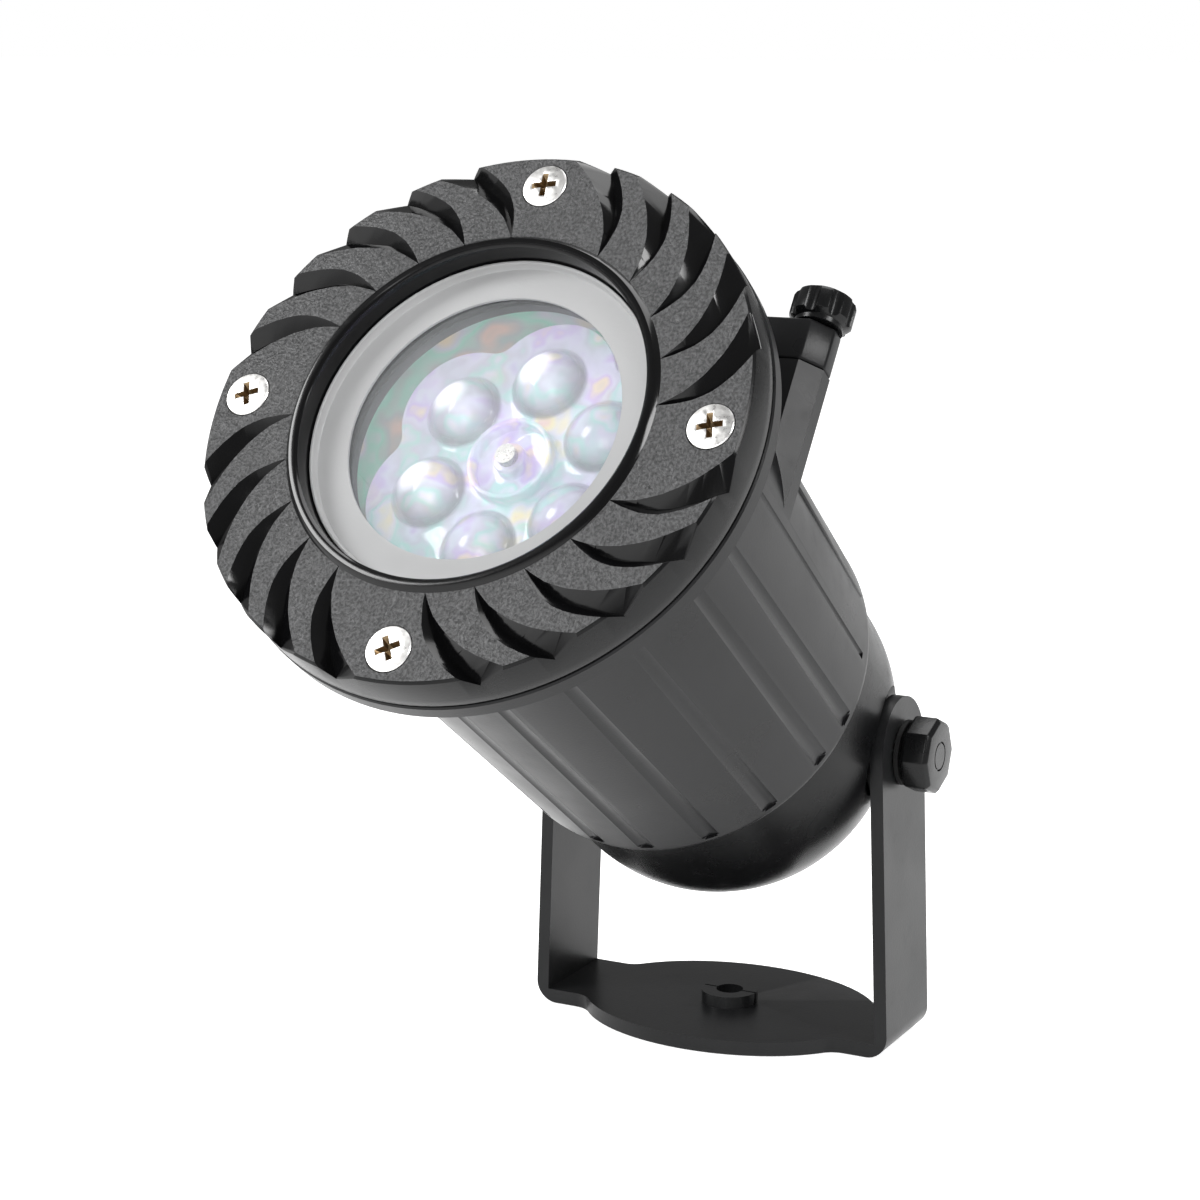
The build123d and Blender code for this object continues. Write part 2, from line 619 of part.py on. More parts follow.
def slide_guide():
    half = SLIDE_HALF_WIDTH + SLIDE_CLEARANCE
    pocket_z = (BOX_MID_Z - SLOT_DEPTH / 2, BOX_MID_Z + SLOT_DEPTH / 2)
    outer_half = half + 1.6
    z_range = (GUIDE_REAR_Z, pocket_z[1] + GUIDE_WALL)
    floor_y = SLIDE_BOTTOM_Y - SLIDE_CLEARANCE
    body = block((-outer_half, outer_half), (floor_y - 2.0, GUIDE_TOP_Y), z_range)
    body &= rod(BARREL_BORE_RADIUS - 0.2, GUIDE_REAR_Z - 1, z_range[1] + 1)
    body -= block((-half, half), (floor_y, GUIDE_TOP_Y + 1), pocket_z)
    for window in beam_places(rod(BEAM_APERTURE_RADIUS + 0.6, GUIDE_REAR_Z - 1, z_range[1] + 1)):
        body -= window
    return body


# ---- light engine -------------------------------------------------------------------
def heat_sink():
    body = rod(SINK_RADIUS, SINK_BASE_Z, SINK_FRONT_Z)
    fin_low = BULKHEAD_Z + BULKHEAD_THICKNESS + 3.0
    fins = int(SINK_RADIUS * 0.75 / SINK_FIN_PITCH)
    for i in range(-fins, fins + 1):
        x = i * SINK_FIN_PITCH
        reach = sqrt((SINK_RADIUS - 8) ** 2 - x ** 2)
        half = SINK_FIN_THICKNESS / 2
        body += block((x - half, x + half), (-reach, reach), (fin_low, SINK_BASE_Z + 0.5))
    hole = rod(SMALL_SCREW_RADIUS + 0.15, SINK_BASE_Z - 1, SINK_FRONT_Z + 1)
    for cutter in ring_of(2, SINK_SCREW_PITCH_RADIUS, hole, 90):
        body -= cutter
    return body


def sink_screws():
    body = Pos(0, 0, SINK_FRONT_Z) * screw(
        SMALL_SCREW_RADIUS, SINK_BASE_THICKNESS + 5, 2.2, SMALL_SCREW_HEAD_HEIGHT
    )
    return group(ring_of(2, SINK_SCREW_PITCH_RADIUS, body, 90))


def led_board():
    return rod(LED_BOARD_RADIUS, SINK_FRONT_Z, BOARD_FRONT_Z)


def led_emitters():
    size = (-LED_HALF_SIZE, LED_HALF_SIZE)
    chip = block(size, size, (BOARD_FRONT_Z, BOARD_FRONT_Z + LED_HEIGHT))
    return group(beam_places(chip))


def condenser_holder():
    top = CONDENSER_Z + CONDENSER_EDGE
    body = tube(HOLDER_RADIUS, HOLDER_RADIUS - HOLDER_WALL, SINK_FRONT_Z, CONDENSER_Z - 1.2)
    body += rod(HOLDER_RADIUS, CONDENSER_Z - 1.2, top)
    for cutter in beam_places(rod(CONDENSER_RADIUS - 1.0, CONDENSER_Z - 2, top + 1)):
        body -= cutter
    for cutter in beam_places(rod(CONDENSER_RADIUS + 0.05, CONDENSER_Z, top + 1)):
        body -= cutter
    return body


def plano_convex(radius, edge, bulge):
    """Lens standing on the XY plane with its domed side up."""
    ball = (radius ** 2 + bulge ** 2) / (2 * bulge)
    cap = Pos(0, 0, edge + bulge - ball) * Sphere(ball)
    return rod(radius, 0, edge + bulge) & (cap + rod(radius, 0, edge))


def condenser_lenses():
    lens = plano_convex(CONDENSER_RADIUS, CONDENSER_EDGE, CONDENSER_BULGE)
    return group(beam_places(Pos(0, 0, CONDENSER_Z) * lens))


# ---- lens plate and its motor ---------------------------------------------------------
def motor_bracket():
    top = MOTOR_REAR_Z + BRACKET_THICKNESS
    reach = BARREL_BORE_RADIUS - 0.3
    body = tube(MOTOR_RADIUS + 3, MOTOR_RADIUS + 0.1, MOTOR_REAR_Z, top)
    body += tube(reach, reach - 3.5, MOTOR_REAR_Z, top)
    for angle in range(0, 360, 90):
        arm = block(
            (MOTOR_RADIUS + 1, reach - 1),
            (-BRACKET_ARM_WIDTH / 2, BRACKET_ARM_WIDTH / 2),
            (MOTOR_REAR_Z, top),
        )
        body += Rot(0, 0, angle) * arm
    for pad in ring_of(2, SINK_SCREW_PITCH_RADIUS, rod(3.2, MOTOR_REAR_Z, top)):
        body += pad
    hole = rod(SMALL_SCREW_RADIUS + 0.15, MOTOR_REAR_Z - 1, top + 1)
    for cutter in ring_of(2, SINK_SCREW_PITCH_RADIUS, hole):
        body -= cutter
    return body


def bracket_screws():
    body = Pos(0, 0, MOTOR_REAR_Z + BRACKET_THICKNESS) * screw(
        SMALL_SCREW_RADIUS, BRACKET_THICKNESS + 5, SMALL_SCREW_HEAD_RADIUS, SMALL_SCREW_HEAD_HEIGHT
    )
    return group(ring_of(2, SINK_SCREW_PITCH_RADIUS, body))


def gear_motor():
    body = rod(MOTOR_RADIUS, MOTOR_REAR_Z, MOTOR_FRONT_Z)
    return body - rod(SHAFT_RADIUS + RUNNING_CLEARANCE, MOTOR_FRONT_Z - 3, MOTOR_FRONT_Z + 1)


def motor_shaft():
    body = rod(SHAFT_RADIUS, MOTOR_FRONT_Z - 2.8, HUB_TOP_Z - 3)
    return body - rod(DISC_SCREW_RADIUS, HUB_TOP_Z - 6, HUB_TOP_Z)


def lobe_places(shape):
    return ring_of(LOBE_COUNT, LOBE_PITCH_RADIUS, shape, LENS_START)


def lens_disc():
    """Clear plate with a ring of round lenses about a raised hub."""
    body = rod(LOBE_PITCH_RADIUS, DISC_REAR_Z, DISC_FRONT_Z)
    for lobe in lobe_places(rod(LOBE_RADIUS, DISC_REAR_Z, DISC_FRONT_Z)):
        body += lobe
    waists = body.edges().filter_by(Axis.Z).filter_by(lambda edge: edge.center().length > LOBE_PITCH_RADIUS)
    body = fillet(waists, LOBE_WAIST_RADIUS)
    lens = plano_convex(LENS_RADIUS, 0.5, LENS_BULGE)
    for bulge in lobe_places(Pos(0, 0, DISC_FRONT_Z - 0.5) * lens):
        body += bulge
    body += tube(HUB_RADIUS, HUB_RADIUS - HUB_WALL, DISC_REAR_Z, HUB_TOP_Z)
    body += rod(HUB_POST_RADIUS, DISC_REAR_Z, HUB_TOP_Z)
    body -= rod(SHAFT_RADIUS, DISC_REAR_Z - 1, HUB_TOP_Z - 3)
    return body - rod(DISC_SCREW_RADIUS, HUB_TOP_Z - 4, HUB_TOP_Z + 1)


def disc_screw():
    body = rod(DISC_SCREW_RADIUS, HUB_TOP_Z - 6, HUB_TOP_Z)
    head = rod(DISC_SCREW_HEAD_RADIUS, HUB_TOP_Z, HUB_TOP_Z + DISC_SCREW_HEAD_HEIGHT)
    return body + head


# ---- driver and cable entry -------------------------------------------------------------
def driver_board():
    x_range = (-BOARD_HALF_LENGTH, BOARD_HALF_LENGTH)
    y_range = (-BOARD_HALF_WIDTH, BOARD_HALF_WIDTH)
    body = block(x_range, y_range, (BOARD_Z, BOARD_Z + BOARD_THICKNESS))
    hole = rod(SMALL_SCREW_RADIUS + 0.15, BOARD_Z - 1, BOARD_Z + 3)
    for cutter in ring_of(2, PILLAR_X, hole):
        body -= cutter
    return body


def driver_parts():
    transformer = block((-10, 6), (-8, 8), (BOARD_Z - 13, BOARD_Z))
    capacitor = Pos(13, 0, 0) * rod(5.0, BOARD_Z - 14, BOARD_Z)
    choke = block((-20, -13), (-5, 5), (BOARD_Z - 8, BOARD_Z))
    return group([transformer, capacitor, choke])


def board_pillars():
    low = BOARD_Z + BOARD_THICKNESS
    body = tube(PILLAR_RADIUS, SMALL_SCREW_RADIUS + THREAD_CLEARANCE, low, BULKHEAD_Z)
    return group(ring_of(2, PILLAR_X, body))


def board_screws():
    rear = Pos(0, 0, BOARD_Z) * Rot(180, 0, 0) * screw(
        SMALL_SCREW_RADIUS, 5.0, SMALL_SCREW_HEAD_RADIUS, SMALL_SCREW_HEAD_HEIGHT
    )
    front = Pos(0, 0, BULKHEAD_Z + BULKHEAD_THICKNESS) * screw(
        SMALL_SCREW_RADIUS, 5.0, SMALL_SCREW_HEAD_RADIUS, SMALL_SCREW_HEAD_HEIGHT
    )
    places = ring_of(2, PILLAR_X, rear) + ring_of(2, PILLAR_X, front)
    return group(places)


def gland_body():
    hexagon = extrude(RegularPolygon(GLAND_HEX_RADIUS, 6), GLAND_HEX_LENGTH)
    start = GLAND_SEAT_Z - GLAND_HEX_LENGTH
    body = Pos(0, 0, start) * hexagon
    body += rod(GLAND_THREAD_RADIUS, start - 3, LOCKNUT_Z + 3.5)
    seat = rod(GLAND_SEAL_RADIUS, start - 4, start + 2)
    return body - rod(CABLE_BORE_RADIUS + 0.3, start - 4, DOME_BACK_Z + 12) - seat


def gland_locknut():
    nut = Pos(0, 0, LOCKNUT_Z) * extrude(RegularPolygon(GLAND_HEX_RADIUS, 6), 2.4)
    return nut - rod(GLAND_THREAD_RADIUS + THREAD_CLEARANCE, LOCKNUT_Z - 1, LOCKNUT_Z + 4)


def gland_nut():
    """Domed outer nut that squeezes the cable seal."""
    start = GLAND_SEAT_Z - GLAND_HEX_LENGTH
    body = turned([
        (CABLE_BORE_RADIUS + 0.3, start),
        (GLAND_HEX_RADIUS - 0.6, start),
        (GLAND_HEX_RADIUS - 0.6, start - 5),
        (GLAND_HEX_RADIUS - 3.2, start - GLAND_LENGTH + 4),
        (CABLE_BORE_RADIUS + 0.3, start - GLAND_LENGTH + 4),
    ])
    return body - rod(GLAND_THREAD_RADIUS + THREAD_CLEARANCE, start - 3.1, start + 1)


def gland_seal():
    start = GLAND_SEAT_Z - GLAND_HEX_LENGTH
    return tube(GLAND_SEAL_RADIUS - 0.05, CABLE_BORE_RADIUS, start - 3, start + 2)


WORLD_PARTS = {"yoke_bracket": yoke_bracket()}
HEAD_PARTS = {
    "barrel_housing": barrel_housing(),
    "front_bezel": front_bezel(),
    "bezel_screws": bezel_screws(),
    "bezel_seal": bezel_seal(),
    "glass_ring": glass_ring(),
    "front_glass": front_glass(),
    "glass_seal": glass_seal(),
    "rear_dome": rear_dome(),
    "dome_seal": dome_seal(),
    "dome_screws": dome_screws(),
    "pivot_inserts": pivot_inserts(),
    "gland_body": gland_body(),
    "gland_locknut": gland_locknut(),
    "gland_nut": gland_nut(),
    "gland_seal": gland_seal(),
    "heat_sink": heat_sink(),
    "sink_screws": sink_screws(),
    "led_board": led_board(),
    "led_emitters": led_emitters(),
    "condenser_holder": condenser_holder(),
    "condenser_lenses": condenser_lenses(),
    "slide_guide": slide_guide(),
    "motor_bracket": motor_bracket(),
    "bracket_screws": bracket_screws(),
    "gear_motor": gear_motor(),
    "motor_shaft": motor_shaft(),
    "lens_disc": lens_disc(),
    "disc_screw": disc_screw(),
    "driver_board": driver_board(),
    "driver_parts": driver_parts(),
    "board_pillars": board_pillars(),
    "board_screws": board_screws(),
    "cap_inserts": cap_inserts(),
    "slide_cap": slide_cap(),
    "cap_seal": cap_seal(),
    "slide_frame": slide_frame(),
    "slide_film": slide_film(),
}
for name, side in (("left", -1), ("right", 1)):
    HEAD_PARTS["cap_knob_" + name] = cap_knob(side)
    HEAD_PARTS["cap_stud_" + name] = cap_stud(side)
    HEAD_PARTS["pivot_knob_" + name] = pivot_knob(side)
    HEAD_PARTS["pivot_stud_" + name] = pivot_stud(side)
    HEAD_PARTS["pivot_washer_" + name] = pivot_washer(side)

os.makedirs("parts", exist_ok=True)
for node, shape in WORLD_PARTS.items():
    export_step(shape, "parts/" + node + ".step")
for node, shape in HEAD_PARTS.items():
    export_step(HEAD * shape, "parts/" + node + ".step")
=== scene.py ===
import json
from math import cos, pi, radians, sin

import bpy
import bmesh
from mathutils import Matrix, Vector

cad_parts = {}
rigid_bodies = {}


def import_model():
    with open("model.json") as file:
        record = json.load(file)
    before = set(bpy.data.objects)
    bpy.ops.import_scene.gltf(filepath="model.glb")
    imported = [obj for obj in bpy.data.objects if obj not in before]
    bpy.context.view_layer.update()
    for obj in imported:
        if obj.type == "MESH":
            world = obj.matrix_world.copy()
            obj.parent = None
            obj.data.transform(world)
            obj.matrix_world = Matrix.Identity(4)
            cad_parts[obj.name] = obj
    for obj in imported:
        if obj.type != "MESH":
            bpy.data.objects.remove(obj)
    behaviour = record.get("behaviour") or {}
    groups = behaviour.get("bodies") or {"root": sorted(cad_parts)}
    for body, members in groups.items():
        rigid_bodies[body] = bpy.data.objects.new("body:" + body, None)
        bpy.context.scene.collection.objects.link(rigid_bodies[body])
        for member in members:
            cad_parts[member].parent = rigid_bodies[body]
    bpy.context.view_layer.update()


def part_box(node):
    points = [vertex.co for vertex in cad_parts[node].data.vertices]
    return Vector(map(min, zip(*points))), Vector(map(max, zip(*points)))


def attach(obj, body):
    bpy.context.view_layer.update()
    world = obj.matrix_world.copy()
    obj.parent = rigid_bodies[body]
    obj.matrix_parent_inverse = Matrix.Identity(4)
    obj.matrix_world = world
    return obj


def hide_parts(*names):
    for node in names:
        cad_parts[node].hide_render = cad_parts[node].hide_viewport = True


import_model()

# Sizes are in millimetres and angles in degrees. MM turns a size into metres.
MM = 0.001
WORLD = Matrix.Identity(4)

# The head is modelled along Z, with the tilt axis as its X axis, and then tipped.
PIVOT_Z = 61.2
REST_TILT = 36.6
HEAD = Matrix.Translation((0, 0, PIVOT_Z * MM)) @ Matrix.Rotation(radians(90 - REST_TILT), 4, "X")

# Heights along the head's axis, from the back to the front.
BARREL_REAR_Z = 31.2
BOX_MID_Z = 86.75
BORE_FRONT_Z = 119.8
FLANGE_REAR_Z = 119.8
SEAM_Z = 123.7
FACE_Z = 132.7

BARREL_REAR_RADIUS = 39.1
BARREL_FRONT_RADIUS = 42.1
BARREL_TAPER = (BARREL_FRONT_RADIUS - BARREL_REAR_RADIUS) / (FLANGE_REAR_Z - BARREL_REAR_Z)
BORE_RADIUS = 36.62
SCREW_CIRCLE = 45.0
TURNED_STEPS = 160


# ---- shader building ---------------------------------------------------------
class Signal:
    """One value output in a material, with arithmetic that adds Math nodes."""

    def __init__(self, finish, socket):
        self.finish = finish
        self.socket = socket

    def combined(self, operation, other):
        node = self.finish.node("ShaderNodeMath", {"operation": operation}, {0: self, 1: other})
        return Signal(self.finish, node.outputs[0])

    def __add__(self, other):
        return self.combined("ADD", other)

    __radd__ = __add__

    def __mul__(self, other):
        return self.combined("MULTIPLY", other)

    __rmul__ = __mul__

    def ramped(self, low, high, to_low=0.0, to_high=1.0):
        """The value carried smoothly from one range to another."""
        node = self.finish.node(
            "ShaderNodeMapRange",
            {"interpolation_type": "SMOOTHSTEP"},
            {"Value": self, "From Min": low, "From Max": high, "To Min": to_low, "To Max": to_high},
        )
        return Signal(self.finish, node.outputs[0])


class Finish:
    """A procedural material on Object coordinates, in metres."""

    def __init__(self, name, colour, roughness, **settings):
        self.material = bpy.data.materials.new(name)
        self.material.use_nodes = True
        self.nodes = self.material.node_tree.nodes
        self.links = self.material.node_tree.links
        self.shader = self.nodes["Principled BSDF"]
        self.set("Base Color", (*colour, 1.0))
        self.set("Roughness", roughness)
        for socket, value in settings.items():
            self.set(socket.replace("_", " ").title().replace("Ior", "IOR"), value)
        self.place = self.node("ShaderNodeTexCoord", {}, {}).outputs["Object"]

    def feed(self, target, value):
        """Give an input a plain value, or link another node's output to it."""
        if isinstance(value, Signal):
            value = value.socket
        if isinstance(value, bpy.types.NodeSocket):
            self.links.new(value, target)
        else:
            target.default_value = value

    def set(self, socket, value):
        self.feed(self.shader.inputs[socket], value)

    def node(self, kind, settings, sockets):
        made = self.nodes.new(kind)
        for key, value in settings.items():
            setattr(made, key, value)
        for key, value in sockets.items():
            self.feed(made.inputs[key], value)
        return made

    def noise(self, scale, detail=3.0, roughness=0.55):
        made = self.node(
            "ShaderNodeTexNoise",
            {},
            {"Vector": self.place, "Scale": scale, "Detail": detail, "Roughness": roughness},
        )
        return Signal(self, made.outputs[0])

    def blend(self, factor, first, second):
        """Mix two colours, each a tuple of three or another colour output."""
        sides = [
            side if isinstance(side, bpy.types.NodeSocket) else (*side, 1.0)
            for side in (first, second)
        ]
        made = self.node(
            "ShaderNodeMix", {"data_type": "RGBA"}, {0: factor, 6: sides[0], 7: sides[1]}
        )
        return made.outputs[2]

    def ramp(self, factor, stops):
        """A colour read from a row of (position, colour) stops."""
        made = self.node("ShaderNodeValToRGB", {}, {"Fac": factor})
        row = made.color_ramp.elements
        row[0].position, row[1].position = stops[0][0], stops[-1][0]
        row[0].color, row[1].color = (*stops[0][1], 1), (*stops[-1][1], 1)
        for position, colour in stops[1:-1]:
            row.new(position).color = (*colour, 1)
        return made.outputs[0]

    def nearness(self, points):
        """Distance in metres to the nearest of some points at rest."""
        nearest = None
        for point in points:
            made = self.node(
                "ShaderNodeVectorMath", {"operation": "DISTANCE"}, {0: self.place, 1: tuple(point)}
            )
            reach = Signal(self, made.outputs["Value"])
            nearest = reach if nearest is None else nearest.combined("MINIMUM", reach)
        return nearest

    def bump(self, height, strength, distance):
        made = self.node(
            "ShaderNodeBump",
            {},
            {"Height": height, "Strength": strength, "Distance": distance},
        )
        self.set("Normal", made.outputs["Normal"])


PLASTIC_IOR = 1.48
LENS_IOR = 1.49


def satin_plastic(name, colour, roughness, grain, grain_depth, shine=0.5, mottle=1.5):
    """Moulded plastic with a fine spark-eroded grain and a few handling marks."""
    finish = Finish(name, colour, roughness, ior=PLASTIC_IOR)
    finish.set("Specular IOR Level", shine)
    fine = finish.noise(grain, 2.0, 0.6)
    cloudy = finish.noise(60.0, 3.0)
    rubbed = finish.noise(240.0, 4.0, 0.7).ramped(0.55, 0.75)
    paler = [min(1.0, channel * mottle) for channel in colour]
    finish.set("Base Color", finish.blend(cloudy.ramped(0.3, 0.75), colour, paler))
    worn = cloudy.ramped(0.3, 0.7, roughness * 0.9, roughness * 1.12)
    finish.set("Roughness", worn + rubbed * 0.03)
    finish.bump(fine, 0.5, grain_depth)
    return finish.material


def leather_grain(name, colour, roughness):
    """Moulded plastic with a leathery grain that shows as light and dark specks."""
    finish = Finish(name, colour, roughness, ior=PLASTIC_IOR)
    finish.set("Specular IOR Level", 0.42)
    pebbles = finish.noise(1900.0, 2.0, 0.5)
    cloudy = finish.noise(70.0, 3.0)
    pits = pebbles.ramped(0.32, 0.68)
    darker = [channel * 0.36 for channel in colour]
    finish.set("Base Color", finish.blend(pits, darker, colour))
    finish.set("Roughness", cloudy.ramped(0.3, 0.7, roughness * 0.88, roughness * 1.1))
    finish.bump(pebbles, 0.9, 0.0004)
    return finish.material


BEZEL_GRAIN = leather_grain("bezel_land_grain", (0.072, 0.0725, 0.074), 0.4)


# name, colour, roughness, grain scale, grain depth in metres, and then shine
BEZEL_GLOSS = satin_plastic(
    "bezel_groove_gloss", (0.0015, 0.0015, 0.0017), 0.13, 300.0, 0.00001, 0.3
)
BEZEL_SIDE = satin_plastic(
    "bezel_side_satin", (0.004, 0.0041, 0.0043), 0.26, 2200.0, 0.00003, 0.16
)
HOUSING = satin_plastic(
    "housing_satin_black", (0.0075, 0.0076, 0.008), 0.3, 2600.0, 0.00003, 0.15
)
DOME = satin_plastic("dome_satin_black", (0.0025, 0.0026, 0.0028), 0.26, 2600.0, 0.00003, 0.08)
BRACKET = satin_plastic(
    "bracket_satin_black", (0.0085, 0.0087, 0.0091), 0.32, 2200.0, 0.00004, 0.2
)
KNOB = satin_plastic("knob_black", (0.003, 0.0031, 0.0033), 0.26, 1800.0, 0.00004, 0.26)
RUBBER = satin_plastic("seal_rubber", (0.006, 0.006, 0.006), 0.6, 1600.0, 0.00005, 0.2)
RING = satin_plastic(
    "pale_ring_plastic", (0.36, 0.362, 0.365), 0.5, 1800.0, 0.00003, mottle=1.06
)
INNER = satin_plastic("inner_white_plastic", (0.62, 0.62, 0.6), 0.45, 900.0, 0.00004)
GREEN = satin_plastic("board_green", (0.03, 0.16, 0.06), 0.35, 600.0, 0.00002)
WHITE_BOARD = satin_plastic("board_white", (0.75, 0.75, 0.73), 0.4, 600.0, 0.00002)
DARK_PART = satin_plastic("component_plastic", (0.03, 0.03, 0.032), 0.4, 900.0, 0.00003)


def plain_metal(name, colour, roughness, grain):
    """Plated or turned metal with fine scratches and uneven shine."""
    finish = Finish(name, colour, roughness, metallic=1.0)
    patches = finish.noise(420.0, 3.0)
    scratches = finish.noise(grain, 5.0, 0.7)
    duller = [channel * 0.8 for channel in colour]
    finish.set("Base Color", finish.blend(patches.ramped(0.35, 0.7), colour, duller))
    finish.set("Roughness", scratches.ramped(0.3, 0.7, roughness * 0.75, roughness * 1.3))
    finish.bump(scratches, 0.3, 0.00002)
    return finish.material


ZINC = plain_metal("zinc_plate", (0.86, 0.86, 0.85), 0.3, 1400.0)
BRASS = plain_metal("turned_brass", (0.8, 0.58, 0.26), 0.28, 1800.0)
ALUMINIUM = plain_metal("sink_aluminium", (0.78, 0.79, 0.8), 0.36, 1200.0)
SCREW_HEAD = plain_metal("screw_head_plate", (0.93, 0.92, 0.9), 0.34, 900.0)
SCREW_RECESS = plain_metal("screw_recess_bronze", (0.3, 0.22, 0.13), 0.35, 900.0)
STEEL = plain_metal("motor_steel", (0.5, 0.49, 0.47), 0.3, 1500.0)


# Pale colours of painted light that the clear parts split the light into, as ramp stops.
PASTELS = [
    (0.22, (0.5, 0.49, 0.58)),
    (0.34, (0.92, 0.74, 0.52)),
    (0.4, (0.64, 0.5, 0.88)),
    (0.46, (0.72, 0.73, 0.9)),
    (0.52, (0.6, 0.61, 0.73)),
    (0.58, (0.42, 0.76, 0.7)),
    (0.64, (0.76, 0.76, 0.88)),
    (0.71, (0.94, 0.84, 0.46)),
    (0.79, (0.86, 0.48, 0.64)),
]


def clear_plastic(name, alpha, painted_glow):
    """Clear moulded plastic with painted pale colours for the light it splits, and a faint painted
    glow.
    """
    finish = Finish(name, (0.8, 0.8, 0.85), 0.05, ior=LENS_IOR)
    # Painted light: pale rainbow colours laid over the plastic by place.
    tint = finish.ramp(finish.noise(70.0, 1.5, 0.45), PASTELS)
    patches = finish.noise(45.0, 1.0).ramped(0.3, 0.7, 0.25, 0.7)
    finish.set("Base Color", finish.blend(patches, tint, (0.3, 0.3, 0.34)))
    finish.set("Alpha", alpha)
    # Painted glow: the part shines faintly in its pale colours though it is no lamp.
    finish.set("Emission Color", tint)
    finish.set("Emission Strength", painted_glow)
    return finish.material


LENS_COUNT = 6
LENS_CIRCLE = 16.5
LENS_FACE_Z = 115.0
FIRST_LENS_ANGLE = 24.0


def lens_place(step):
    """A point over one of the six lenses, in metres at rest."""
    turn = radians(FIRST_LENS_ANGLE + 360.0 / LENS_COUNT * step)
    return HEAD @ (Vector((LENS_CIRCLE * cos(turn), LENS_CIRCLE * sin(turn), LENS_FACE_Z)) * MM)


def lens_material():
    """Clear lens plastic with a painted shade as a dark rim in each lens, a painted highlight over
    three of them and a painted glow over the whole plate.
    """
    finish = Finish("clear_lens_plastic", (0.6, 0.6, 0.66), 0.04, ior=LENS_IOR)
    tint = finish.ramp(finish.noise(110.0, 2.5, 0.5), PASTELS)
    centres = [lens_place(step) for step in range(LENS_COUNT)]
    # The painted highlight sits a little to one side of three of the lenses.
    highlight_shift = HEAD.to_3x3() @ Vector((-0.0022, 0.0016, 0))
    highlight_points = [centre + highlight_shift for centre in centres[1:4]]
    lens = finish.nearness(centres)
    # Painted shade: a dark ring round each lens, darker in the base colour and in the glow.
    painted_shade_rim = lens.ramped(0.0035, 0.0068) * lens.ramped(0.0068, 0.0076, 1.0, 0.0)
    # Painted highlight: white in the base colour and the glow near each of three points.
    painted_highlight = finish.nearness(highlight_points).ramped(0.0016, 0.0046, 1.0, 0.0)
    shaded = finish.blend(painted_shade_rim, tint, (0.16, 0.16, 0.19))
    finish.set("Base Color", finish.blend(painted_highlight * 0.6, shaded, (0.95, 0.95, 1.0)))
    # Painted glow: the plate shines though it is no lamp, dimmer on the shaded rims, tinted, and
    # white at the painted highlights.
    painted_glow_base = finish.blend(painted_shade_rim, (0.04, 0.038, 0.05), (0.008, 0.008, 0.012))
    painted_glow_colour = finish.blend(0.12, painted_glow_base, tint)
    finish.set("Emission Color", finish.blend(painted_highlight, painted_glow_colour, (0.95, 0.93, 0.98)))
    finish.set("Emission Strength", 1.6)
    finish.set("Alpha", 0.62)
    return finish.material


def liner_material():
    """Polished pale liner with faint painted colours for the light the lenses throw on it, and a
    painted glow.
    """
    finish = Finish("pale_liner", (0.5, 0.52, 0.52), 0.25, ior=PLASTIC_IOR)
    stops = [
        (0.28, (0.2, 0.24, 0.22)),
        (0.38, (0.62, 0.36, 0.28)),
        (0.46, (0.3, 0.33, 0.33)),
        (0.54, (0.2, 0.5, 0.38)),
        (0.62, (0.42, 0.42, 0.5)),
        (0.72, (0.62, 0.48, 0.3)),
    ]
    # Painted light: coloured patches that stand in for light thrown by the lenses.
    tint = finish.ramp(finish.noise(75.0, 2.0, 0.5), stops)
    finish.set("Base Color", tint)
    # Painted glow: the liner shines faintly though it is no lamp, to brighten the bore.
    finish.set("Emission Color", tint)
    finish.set("Emission Strength", 0.3)
    return finish.material


LENS = lens_material()
CONDENSER = clear_plastic("condenser_plastic", 0.6, 0.08)
FILM = clear_plastic("printed_film", 0.7, 0.05)
LINER = liner_material()
LED = satin_plastic("led_phosphor", (0.85, 0.75, 0.2), 0.25, 900.0, 0.00002)


def window_material():
    """Thin clear window, nearly all see-through."""
    finish = Finish("window_glass", (0.9, 0.93, 0.95), 0.03, ior=1.5)
    finish.set("Alpha", finish.noise(30.0, 2.0).ramped(0.2, 0.8, 0.08, 0.13))
    return finish.material


WINDOW = window_material()

NODE_FINISHES = {
    "yoke_bracket": BRACKET,
    "barrel_housing": HOUSING,
    "front_bezel": BEZEL_GRAIN,
    "bezel_screws": ZINC,
    "bezel_seal": RUBBER,
    "glass_ring": RING,
    "front_glass": WINDOW,
    "glass_seal": RUBBER,
    "rear_dome": DOME,
    "dome_seal": RUBBER,
    "dome_screws": ZINC,
    "pivot_inserts": BRASS,
    "gland_body": HOUSING,
    "gland_locknut": HOUSING,
    "gland_nut": HOUSING,
    "gland_seal": RUBBER,
    "heat_sink": ALUMINIUM,
    "sink_screws": ZINC,
    "led_board": WHITE_BOARD,
    "led_emitters": LED,
    "condenser_holder": INNER,
    "condenser_lenses": CONDENSER,
    "slide_guide": INNER,
    "motor_bracket": INNER,
    "bracket_screws": ZINC,
    "gear_motor": STEEL,
    "motor_shaft": STEEL,
    "lens_disc": LENS,
    "disc_screw": STEEL,
    "driver_board": GREEN,
    "driver_parts": DARK_PART,
    "board_pillars": BRASS,
    "board_screws": ZINC,
    "cap_inserts": BRASS,
    "slide_cap": HOUSING,
    "cap_seal": RUBBER,
    "slide_frame": INNER,
    "slide_film": FILM,
}
for side in ("left", "right"):
    NODE_FINISHES["cap_knob_" + side] = KNOB
    NODE_FINISHES["cap_stud_" + side] = ZINC
    NODE_FINISHES["pivot_knob_" + side] = KNOB
    NODE_FINISHES["pivot_stud_" + side] = ZINC
    NODE_FINISHES["pivot_washer_" + side] = RUBBER

